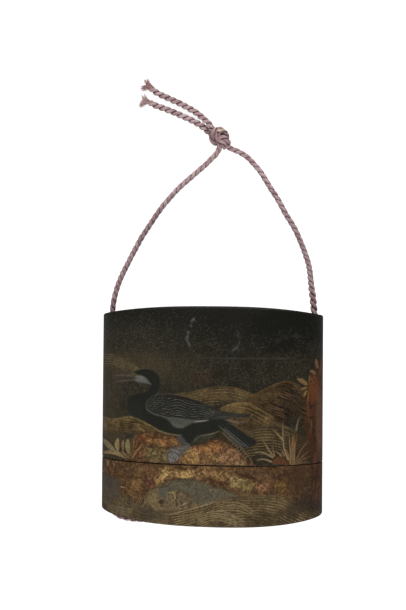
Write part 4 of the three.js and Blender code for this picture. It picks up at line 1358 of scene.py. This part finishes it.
# %% Bird
BLACK = (33, 34, 29)
SLATE = (35, 35, 32)
FEATHER = (100, 98, 88)
BODY = [(-24.6, 13.9), (-22.6, 14.7), (-20.2, 15), (-18, 14.6), (-16.4, 13.4), (-15.7, 11.6), (-15.7, 9.6),
        (-16.3, 7.6), (-17.2, 6.2), (-16, 5.4), (-8, 4), (2, 1), (6.6, -0.8), (7, -1.8), (5.4, -3.8), (3.4, -4.7),
        (0.6, -5.3), (-2.4, -5.9), (-3.8, -6.5), (-4.6, -7.7), (-5.4, -8.7), (-6.4, -8.2), (-7.6, -6.7),
        (-8.8, -5.9), (-12, -5.7), (-15, -4.9), (-17.4, -3.7), (-20, -2.5), (-23, -1.3), (-25.4, -0.6),
        (-26.7, 1.2), (-26.9, 3.2), (-26.2, 5.1), (-24.6, 6.2), (-22.4, 7), (-20.4, 7.6), (-19.2, 8.4),
        (-18.7, 9.6), (-19.6, 11), (-21, 12.4), (-23, 13)]
FACE = [(-24.7, 12), (-23.6, 12.9), (-21.9, 12.9), (-20.4, 12.2), (-19.3, 11), (-18.4, 10), (-20, 10.3), (-22, 10.4),
        (-24, 10.8)]
WING_TOP = [(-20.4, 2.8), (-20, 4.2), (-18.4, 5.8), (-16.4, 6.5), (-13, 6.8), (-10, 6.7), (-6, 6), (-2, 4.8),
            (1, 3.4), (4, 2.2), (8, 1.5), (14.2, 0.5)]
WING_LOW = [(14.2, 0.2), (8, -0.3), (4, -0.9), (0, -1), (-5, -0.9), (-10, -0.4), (-14, -0.2), (-17, 0.3),
            (-19.4, 1.4)]
FLANK = [(-14.6, -0.2), (-12.6, -1.4), (-11.2, -3), (-10.2, -3.7), (-8, -3.9), (-6.4, -3.1), (-4.4, -2.1),
         (-1.4, -1.5), (0.8, -1.1), (-5, -0.7), (-10, -0.3)]
TAIL = [(4, -2), (5.6, -1), (7.4, -1.4), (9.2, -2.9), (12, -5), (14.6, -6.6), (15.9, -7.6), (15.4, -8.7),
        (13.4, -9.7), (11, -8.8), (8, -6.6), (5, -3.9)]
FOOT = [(-7.6, -9.6), (-5.8, -9.9), (-6.2, -11), (-7.6, -12.2), (-8.8, -13.4), (-9.8, -14.9), (-12, -15.2),
        (-13.2, -13.6), (-12.8, -11.6), (-11.6, -10.4)]
LEG = [(-9.6, -6.3), (-8.4, -6.2), (-7.4, -7.2), (-6.4, -8.4), (-5.2, -9), (-5.6, -10.1), (-7.6, -10), (-9, -8.6)]
THIGH = [(-4.4, -8.4), (-3.6, -6.8), (-2, -6), (0, -5.7), (2.6, -5.2), (1.6, -6.6), (0.4, -7.7), (-2, -8.4)]
BIRD_LINES = [
    # Line, width, colour, strength.
    ([(-23.6, 12), (-26, 11.8), (-30, 11.5), (-32.6, 11.3)], 1.9, (66, 56, 50), 0.6),
    ([(-24, 12.7), (-28, 12.7), (-32.8, 12.4)], 0.5, (90, 79, 73), 0.85),
    ([(-23.8, 11.2), (-27, 11), (-30, 10.5), (-32.6, 10.1)], 0.45, (86, 76, 70), 0.85),
    ([(-24.6, 11.9), (-28, 11.7), (-31.4, 11.4)], 0.35, (48, 40, 36), 0.7),
    ([(-25.4, 9.6), (-24, 8.8), (-22.6, 7.8)], 0.3, (62, 58, 50), 0.7),
    ([(-27, 9), (-25.6, 7.6), (-24.8, 6.6)], 0.3, (62, 58, 50), 0.7),
    ([(-29.6, 9.9), (-29.2, 8.6), (-28, 7.4)], 0.3, (66, 62, 55), 0.6),
    ([(-31.6, 9.2), (-30, 8.4), (-29, 6.6)], 0.3, (60, 56, 50), 0.6),
    ([(-23.4, 9.8), (-21.6, 9.4), (-20.4, 8.6)], 0.35, (58, 55, 49), 0.6),
    ([(-33.6, 7), (-31, 6), (-29.4, 4)], 0.3, (62, 58, 51), 0.5),
    ([(-20.3, 2.8), (-19.6, 1.6), (-17.4, 0.4), (-15, -0.1), (-13, -0.3)], 0.35, FEATHER, 0.8),
    ([(-20.4, 2.8), (-20, 4.4), (-18.4, 5.9), (-16.6, 6.5)], 0.3, (72, 70, 62), 0.7),
    ([(-15.2, 7.8), (-16.4, 7), (-17.8, 6.1)], 0.5, (62, 62, 54), 0.7),
    ([(-16.4, 6.6), (-12, 7.2), (-8, 6.9), (-4.6, 5.9)], 0.35, (70, 64, 52), 0.6),
    ([(-4.4, -1.7), (-1.8, -1.4), (0.6, -1)], 0.45, (126, 124, 110), 1.0),
    ([(-13, 6.2), (-9, 6.1), (-5, 5.2), (-1, 3.8)], 0.8, (34, 26, 26), 0.8),
    ([(5, 1.1), (8, 1), (12, 0.9), (14, 0.6)], 0.45, (28, 26, 25), 0.8),
    ([(-23.8, 12.5), (-22.2, 12.4), (-20.6, 11.8)], 0.3, (112, 110, 103), 0.8),
    ([(-23.8, 11.5), (-22, 11.5), (-20.4, 11)], 0.3, (112, 110, 103), 0.8),
    ([(-11.6, -2.4), (-9.4, -3.2), (-7.2, -3.2)], 1.0, (86, 88, 80), 0.6),
    ([(5.4, 0.9), (9, 0.8), (13, 0.6)], 0.28, (76, 72, 64), 0.8),
    ([(3, 0.2), (8, 0.1), (13.6, 0)], 0.28, (80, 76, 68), 0.8),
    ([(5.6, -0.7), (7.2, -1.1), (9, -1.6), (10.8, -2.1)], 0.4, (112, 96, 84), 0.9),
    ([(7.6, -0.8), (10, -1.3), (13.2, -1.6)], 0.35, (104, 90, 78), 0.8),
    ([(6.4, -1.6), (9, -2.6), (11.6, -4), (14.8, -5.5)], 0.5, (84, 70, 50), 0.7),
    ([(4, -3), (6.4, -4.8), (9, -7.2), (12.4, -9.9)], 0.3, (92, 92, 88), 0.8),
    ([(5, -3.4), (7.6, -5.6), (10.6, -8.2), (13.6, -9.6)], 0.3, (84, 84, 80), 0.8),
    ([(0.8, 3), (1.6, 1.8), (3, 1)], 0.3, FEATHER, 0.7), ([(-0.4, 1.8), (1, 0.9), (2.6, 0.3)], 0.3, FEATHER, 0.6),
    ([(3.4, -2.4), (5, -3.6), (8, -6), (11, -8.4), (13.2, -9.7)], 0.35, (86, 84, 76), 0.7),
    ([(5.2, -4.6), (7, -6.6), (9, -8.2), (11.8, -10)], 0.8, (88, 78, 60), 0.75),
    ([(10.6, -9.2), (12, -10.6), (13, -12.2)], 0.9, (104, 88, 68), 0.5),
    ([(-15.6, -4.8), (-12.6, -5.8), (-10, -6.1), (-7.8, -6.1)], 0.32, (114, 104, 82), 0.9),
    ([(-2.2, -6.1), (0.4, -5.7), (2.6, -5.1), (4.6, -4.2)], 0.35, (116, 106, 84), 0.9),
    ([(-1.8, -6.9), (0.6, -6.6), (3, -6)], 0.25, (84, 74, 56), 0.6),
    ([(-4.4, -8.4), (-3.2, -7), (-1.8, -6.2)], 0.35, (78, 76, 62), 0.8),
    ([(-7.6, -9.7), (-6, -9.7), (-4.8, -9.9)], 0.3, (110, 104, 94), 0.9),
    ([(-9.6, -10.5), (-8, -10.4), (-6.8, -10.2)], 0.3, (112, 106, 94), 0.9),
    ([(-7.2, -8.4), (-6.2, -9), (-5.4, -9.3)], 0.25, (100, 94, 86), 0.8),
]
FOOT_LINES = [
    [(-12.6, -12.4), (-11.8, -13), (-12.4, -13.8)], [(-12, -12), (-11, -12.6), (-11.4, -13.6)],
    [(-11, -12), (-10.2, -12.8), (-10.6, -14)], [(-12.6, -13.6), (-11.6, -14.4), (-12, -15)],
    [(-10, -12.4), (-9.4, -13.4), (-9.8, -14.4)], [(-11.4, -13.4), (-10.8, -14.4), (-10.8, -15)],
    [(-12, -11), (-10, -11.2), (-8.4, -12)],
]


def bird(c):
    c.brush(c.shape(THIGH, 0.5) * 0.85, (48, 49, 39), gold=0.05)
    c.brush(c.shape(LEG, 0.4) * 0.9, (68, 66, 64), gold=0.05)
    c.brush(c.shape(FOOT, 0.4) * 0.9, (84, 81, 78), gold=0.3, dust=0.05)
    for drawn in FOOT_LINES:
        c.brush(c.stroke(drawn, 0.3) * 0.9, (134, 130, 126))
    tail = c.shape(TAIL, 0.35)
    c.brush(tail, (33, 33, 31), gold=0, dust=0.03)
    across = (c.x * 0.62 + c.y * 0.78) / 0.95
    c.lines(tail * ramp(across, 2.6, 1.4), across, 0.7, (92, 92, 86))
    body = c.shape(BODY, 0.3)
    c.brush(body, BLACK, gold=0, dust=0.02)
    c.brush(body * ramp(c.x, -19, -24) * ramp(c.y, 6, 3) * 0.6, (41, 42, 37))
    c.brush(c.shape(FLANK, 0.7) * 0.95, (76, 76, 69), gold=0.2)
    top, low = rounded(WING_TOP, False), rounded(WING_LOW, False)[::-1]
    wing = c.shape(WING_TOP + WING_LOW, 0.3)
    c.brush(wing, SLATE, gold=0.1, dust=0.03)
    share = (c.y - np.interp(c.x, low[:, 0], low[:, 1])) / np.maximum(
        np.interp(c.x, top[:, 0], top[:, 1]) - np.interp(c.x, low[:, 0], low[:, 1]), 0.3)
    # Small overlapping feathers at the shoulder, long ones towards the tip.
    scaly = ramp(c.x, -9, -14)
    scales = np.abs(np.sin(math.pi * (c.x / 1.6 + 4.2 * share)))
    feathers = share * 8.5 + 0.4 * scaly * scales + 0.35 * np.sin(c.x * 0.9) + 0.9 * c.fog(3, 82)
    strength = 0.75 * (0.2 + 0.9 * c.fog(1.8, 81)) * ramp(share, 0.02, 0.1) * ramp(share, 0.99, 0.85)
    c.lines(wing * (share > 0) * (share < 1), feathers, strength * ramp(c.x, 12, 6), FEATHER)
    c.brush(c.shape(FACE, 0.45) * ramp(c.x, -26.5, -23.5), (90, 88, 82), dust=0.02)
    for drawn, width, colour, amount in BIRD_LINES:
        c.brush(c.stroke(drawn, width) * amount, colour)


# %% [markdown]
# ### Wear, and a painted reflection
# The polish has gone in places: two milky smudges and a fainter one on the dark sky, and rubbed
# edges where the sections part. A paler line runs along the upper joint, and a pale streak down the
# left of the front is a painted reflection of light.

# %% Wear
SMUDGES_AND_REFLECTION = [
    ([(-3.6, 32.6), (-5, 31), (-5.6, 29), (-6.4, 26.6), (-6.6, 25), (-5.8, 23.2), (-5.6, 21.6)], 1.1, 0.55),
    ([(-4, 31.6), (-4.6, 31)], 1.2, 0.5), ([(9.6, 29), (10, 27), (10.6, 25), (10, 23.4)], 0.9, 0.45),
    ([(10, 23), (9, 21.8), (7.8, 21.2)], 1.0, 0.5), ([(27, 27), (28.4, 26.4), (29.4, 25.6)], 1.6, 0.22),
    # The last one is no wear: a pale streak down the left of the front, a painted reflection of light.
    ([(-33.8, 17), (-33.9, 10), (-33.7, 1)], 0.6, 0.2),
]


def wear_and_reflection(c):
    # Milky smudges of worn polish, and one pale streak that is a painted reflection.
    for drawn, width, amount in SMUDGES_AND_REFLECTION:
        patchy = ramp(c.fog(1.1, 91, 2), 0.3, 0.75)
        c.brush(c.stroke(drawn, width, soft=0.6) * amount * patchy, (108, 109, 106), dust=0)
    for joint, amount in ((UPPER_JOINT, 0.2), (LOWER_JOINT, 0.45)):
        rubbed = ramp(np.abs(c.y - joint), 0.55, 0.15) * ramp(c.fog(2.4, 92), 0.5, 0.75)
        c.brush(rubbed * amount, (88, 66, 44), dust=0)
    pale = ramp(np.abs(c.y - UPPER_JOINT), 0.32, 0.1) * ramp(c.x, -6, 0) * ramp(c.x, 31, 24) * c.front
    c.brush(pale * (0.3 + 0.6 * c.fog(3, 93, 2)), (66, 63, 56), dust=0)
    dark = ramp(np.abs(c.y - LOWER_JOINT), 0.34, 0.12) * ramp(c.x, 26, 12)
    c.brush(dark * 0.8, (42, 27, 14), gold=0)


def paint_outside(points):
    """All layers on points of the outside, in millimetres."""
    c = Canvas(points)
    sky(c)
    for number, given in enumerate(SWELLS):
        swell(c, **given, seed=number)
    for drawn in HATCHES:
        hatch(c, *drawn)
    rocks(c)
    for number, given in enumerate(NEAR_SWELLS):
        swell(c, **given, seed=20 + number)
    for drawn in NEAR_HATCHES:
        hatch(c, *drawn)
    shade(c)
    water(c)
    plants(c)
    trunk(c)
    bird(c)
    wear_and_reflection(c)
    return c

# %% [markdown]
# ## Lay the painting on the three sections
# The outside takes the picture, and its two ends only dusted black, since nothing was painted there.
# The hollows, lips and cord holes have plain black-brown lacquer with gold flakes, as such cases
# usually have.

# %% Paint the sections
def outside_of(points):
    x, y, z = points.T
    section = (np.abs(x) / CASE_HALF[0]) ** SECTION_POWER + (np.abs(z - AXIS_HEIGHT) / CASE_HALF[1]) ** SECTION_POWER
    end = np.abs(y) - arch(x)
    return (section > 0.955) | (end > 31.65), ramp(section, 0.97, 0.86) * ramp(end, 31.8, 33)


def store(mesh, name, kind, values):
    attribute = mesh.attributes.new(name, kind, "POINT")
    attribute.data.foreach_set("color" if kind == "FLOAT_COLOR" else "value", values.astype(np.float32).ravel())


def lay_paint(obj):
    mesh = obj.data
    points = np.empty(len(mesh.vertices) * 3, dtype=np.float32)
    mesh.vertices.foreach_get("co", points)
    points = points.reshape(-1, 3).astype(float) / MM
    outside, ends = outside_of(points)
    paint = np.tile(np.array([46, 35, 27]) / 255, (len(points), 1))
    ink = paint.copy()
    numbers = {"phase": 0.0, "fine": 0.0, "gold": 0.1, "dust": 0.55}
    numbers = {name: np.full(len(points), value) for name, value in numbers.items()}
    c = paint_outside(points[outside])
    share = ends[outside]
    base = np.where(c.y > 0, 1.0, 0.0)[:, None]
    plain = base * np.array([44, 42, 36]) / 255 + (1 - base) * np.array([64, 55, 41]) / 255
    c.paint += (plain - c.paint) * share[:, None]
    c.fine *= 1 - share
    c.dust += (0.45 - c.dust) * share
    c.gold += (0.15 - c.gold) * share
    paint[outside], ink[outside] = c.paint, c.ink
    for name in numbers:
        numbers[name][outside] = getattr(c, name)
    solid = np.ones((len(points), 1))
    store(mesh, "paint", "FLOAT_COLOR", np.hstack([srgb(*(paint * 255).T).T, solid]))
    store(mesh, "ink", "FLOAT_COLOR", np.hstack([srgb(*(ink * 255).T).T, solid]))
    for name, values in numbers.items():
        store(mesh, name, "FLOAT", values)


for section in (lid, middle, bottom):
    lay_paint(section)

# %% [markdown]
# ## Lacquer
# The material reads what was brushed: the colour, the fine lines, how much of it is gold powder and
# how thickly flakes were sprinkled. Flakes are small round cells, each lit a little differently.
# Bare lacquer is smoother than powdered gold, and age has dulled both.

# %% Lacquer material
def attribute(tree, name):
    return add(tree, "ShaderNodeAttribute", attribute_name=name).outputs


def flakes(tree, place, scale, amount, size):
    """Round flakes in cells of the given scale. amount is the share of cells that hold one."""
    cells = add(tree, "ShaderNodeTexVoronoi", {"Vector": place, "Scale": scale})
    chance = add(tree, "ShaderNodeSeparateColor", {0: cells.outputs["Color"]})
    held = step_up(tree, math_node(tree, "SUBTRACT", amount, chance.outputs[0]), 0.0, 0.06)
    round_spot = step_up(tree, cells.outputs["Distance"], size, size * 0.6)
    return math_node(tree, "MULTIPLY", held, round_spot).outputs[0], chance.outputs[1]


def lacquer_material():
    material, tree, shader = new_material("painted_lacquer")
    place = add(tree, "ShaderNodeTexCoord").outputs["Object"]
    paint = attribute(tree, "paint")["Color"]
    ink = attribute(tree, "ink")["Color"]
    phase = attribute(tree, "phase")["Fac"]
    fine = attribute(tree, "fine")["Fac"]
    gold = attribute(tree, "gold")["Fac"]
    dust = attribute(tree, "dust")["Fac"]

    fine_grain = add(tree, "ShaderNodeTexNoise", {"Vector": place, "Scale": 2000.0, "Detail": 2.0, "Roughness": 0.6})
    fine_grain = fine_grain.outputs["Fac"]

    part = math_node(tree, "SUBTRACT", math_node(tree, "FRACT", phase), 0.5)
    middle_of_line = math_node(tree, "MULTIPLY", math_node(tree, "ABSOLUTE", part), 2.0)
    broken = add(tree, "ShaderNodeMapRange", {0: fine_grain, 1: 0.36, 2: 0.64, 3: 0.5, 4: 1.1})
    line = math_node(tree, "MULTIPLY", step_up(tree, middle_of_line, 0.5, 0.85), fine)
    line = math_node(tree, "MULTIPLY", line, broken, clamp=True)
    colour = mix_colour(tree, line, paint, ink)

    grain = add(tree, "ShaderNodeMapRange", {0: fine_grain, 1: 0.34, 2: 0.66, 3: 0.5, 4: 1.5})
    strength = math_node(tree, "MULTIPLY_ADD", gold, 0.75, clamp=True)
    strength.inputs[2].default_value = 0.32
    grey = add(tree, "ShaderNodeCombineColor", {0: grain, 1: grain, 2: grain})
    colour = mix_colour(tree, strength, colour, grey, "MULTIPLY")

    powdered = add(tree, "ShaderNodeMapRange", {0: gold, 1: 0.5, 2: 1.0, 3: 0.0, 4: 0.85})
    pits, _ = flakes(tree, place, 1450.0, powdered, 0.46)
    colour = mix_colour(tree, math_node(tree, "MULTIPLY", pits, 0.62), colour, rgba(50, 31, 16))
    large, tone = flakes(tree, place, 1500.0, math_node(tree, "MULTIPLY", dust, 0.9), 0.44)
    small, _ = flakes(tree, place, 2900.0, math_node(tree, "MULTIPLY", dust, 1.4), 0.5)
    gilt = mix_colour(tree, tone, rgba(56, 53, 44), rgba(92, 87, 70))
    colour = mix_colour(tree, math_node(tree, "MULTIPLY", large, 0.32), colour, gilt)
    colour = mix_colour(tree, math_node(tree, "MULTIPLY", small, 0.52), colour, gilt)

    spread = add(tree, "ShaderNodeTexNoise", {"Vector": place, "Scale": 90.0, "Detail": 4.0})
    dull = math_node(tree, "MULTIPLY_ADD", gold, 0.16)
    patches = add(tree, "ShaderNodeMapRange", {0: spread.outputs["Fac"], 1: 0.3, 2: 0.7, 3: 0.34, 4: 0.46})
    tree.links.new(patches.outputs[0], dull.inputs[2])
    height = math_node(tree, "MULTIPLY_ADD", large, 0.6)
    tree.links.new(fine_grain, height.inputs[2])
    bump = add(tree, "ShaderNodeBump", {"Height": height, "Distance": 0.00001})
    bump.inputs["Strength"].default_value = 0.5
    metal = math_node(tree, "MULTIPLY", large, 0.1)
    for source, name in ((colour, "Base Color"), (dull, "Roughness"), (metal, "Metallic"), (bump, "Normal")):
        socket = source if isinstance(source, bpy.types.NodeSocket) else source.outputs[0]
        tree.links.new(socket, shader.inputs[name])
    shader.inputs["Specular IOR Level"].default_value = 0.12
    return material


lacquer = lacquer_material()
for section in (lid, middle, bottom):
    section.data.materials.clear()
    section.data.materials.append(lacquer)

# %% [markdown]
# ## Floor and light
# The picture has a plain white surround with no shadow in it, so the floor glows to the camera. The two
# wide soft lights stand beyond the top and the bottom of the case: its wall is straight that way, so
# it doesn't mirror them to the camera and the dark lacquer keeps its depth.

# %% Stage
def add_floor():
    mesh = bpy.data.meshes.new("floor")
    size = 1.5
    mesh.from_pydata([(-size, -size, 0), (size, -size, 0), (size, size, 0), (-size, size, 0)], [], [(0, 1, 2, 3)])
    floor = link(bpy.data.objects.new("floor", mesh))
    floor.location.z = -0.0002
    material, tree, shader = new_material("floor_white")
    shader.inputs["Base Color"].default_value = (0.4, 0.4, 0.4, 1)
    shader.inputs["Roughness"].default_value = 1.0
    shader.inputs["Specular IOR Level"].default_value = 0.0
    shader.inputs["Emission Color"].default_value = (1, 1, 1, 1)
    seen = add(tree, "ShaderNodeLightPath").outputs["Is Camera Ray"]
    tree.links.new(math_node(tree, "MULTIPLY", seen, 0.92).outputs[0], shader.inputs["Emission Strength"])
    mesh.materials.append(material)


def add_light(name, place, target, size, power):
    data = bpy.data.lights.new(name, "AREA")
    data.shape = "RECTANGLE"
    data.size, data.size_y = size
    data.energy = power
    light = link(bpy.data.objects.new(name, data))
    light.location = place
    aim = Vector(target) - Vector(place)
    light.rotation_euler = aim.to_track_quat("-Z", "Y").to_euler()


add_floor()
add_light("top_light", (0.0, 0.72, 0.52), (0, 0.03, 0), (1.0, 0.35), 7.0)
add_light("bottom_light", (0.0, -0.68, 0.5), (0, 0.0, 0), (1.0, 0.35), 6.2)

world = bpy.data.worlds.new("world")
world.use_nodes = True
world.node_tree.nodes["Background"].inputs["Color"].default_value = (1, 1, 1, 1)
world.node_tree.nodes["Background"].inputs["Strength"].default_value = 0.13
bpy.context.scene.world = world
bpy.context.scene.view_settings.view_transform = "Standard"
bpy.context.scene.view_settings.look = "None"

# %% [markdown]
# ## Hand the pieces over
# Each finished piece rides on the part's one body and takes the place of the plain nodes.

for piece in (lid, middle, bottom, cord_left, cord_right, knot, knot_thread, fray_upper, fray_lower, cord_held):
    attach(piece, "root")
for piece, node in ((lid, "lid"), (middle, "middle_case"), (bottom, "bottom_case")):
    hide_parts(node)
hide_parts("cord_left_leg", "cord_lower_tail")
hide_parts("cord_right_leg", "cord_upper_tail")
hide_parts("cord_knot")
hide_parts("cord_knot")
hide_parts("cord_upper_tail")
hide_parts("cord_lower_tail")
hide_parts("cord_through_case")
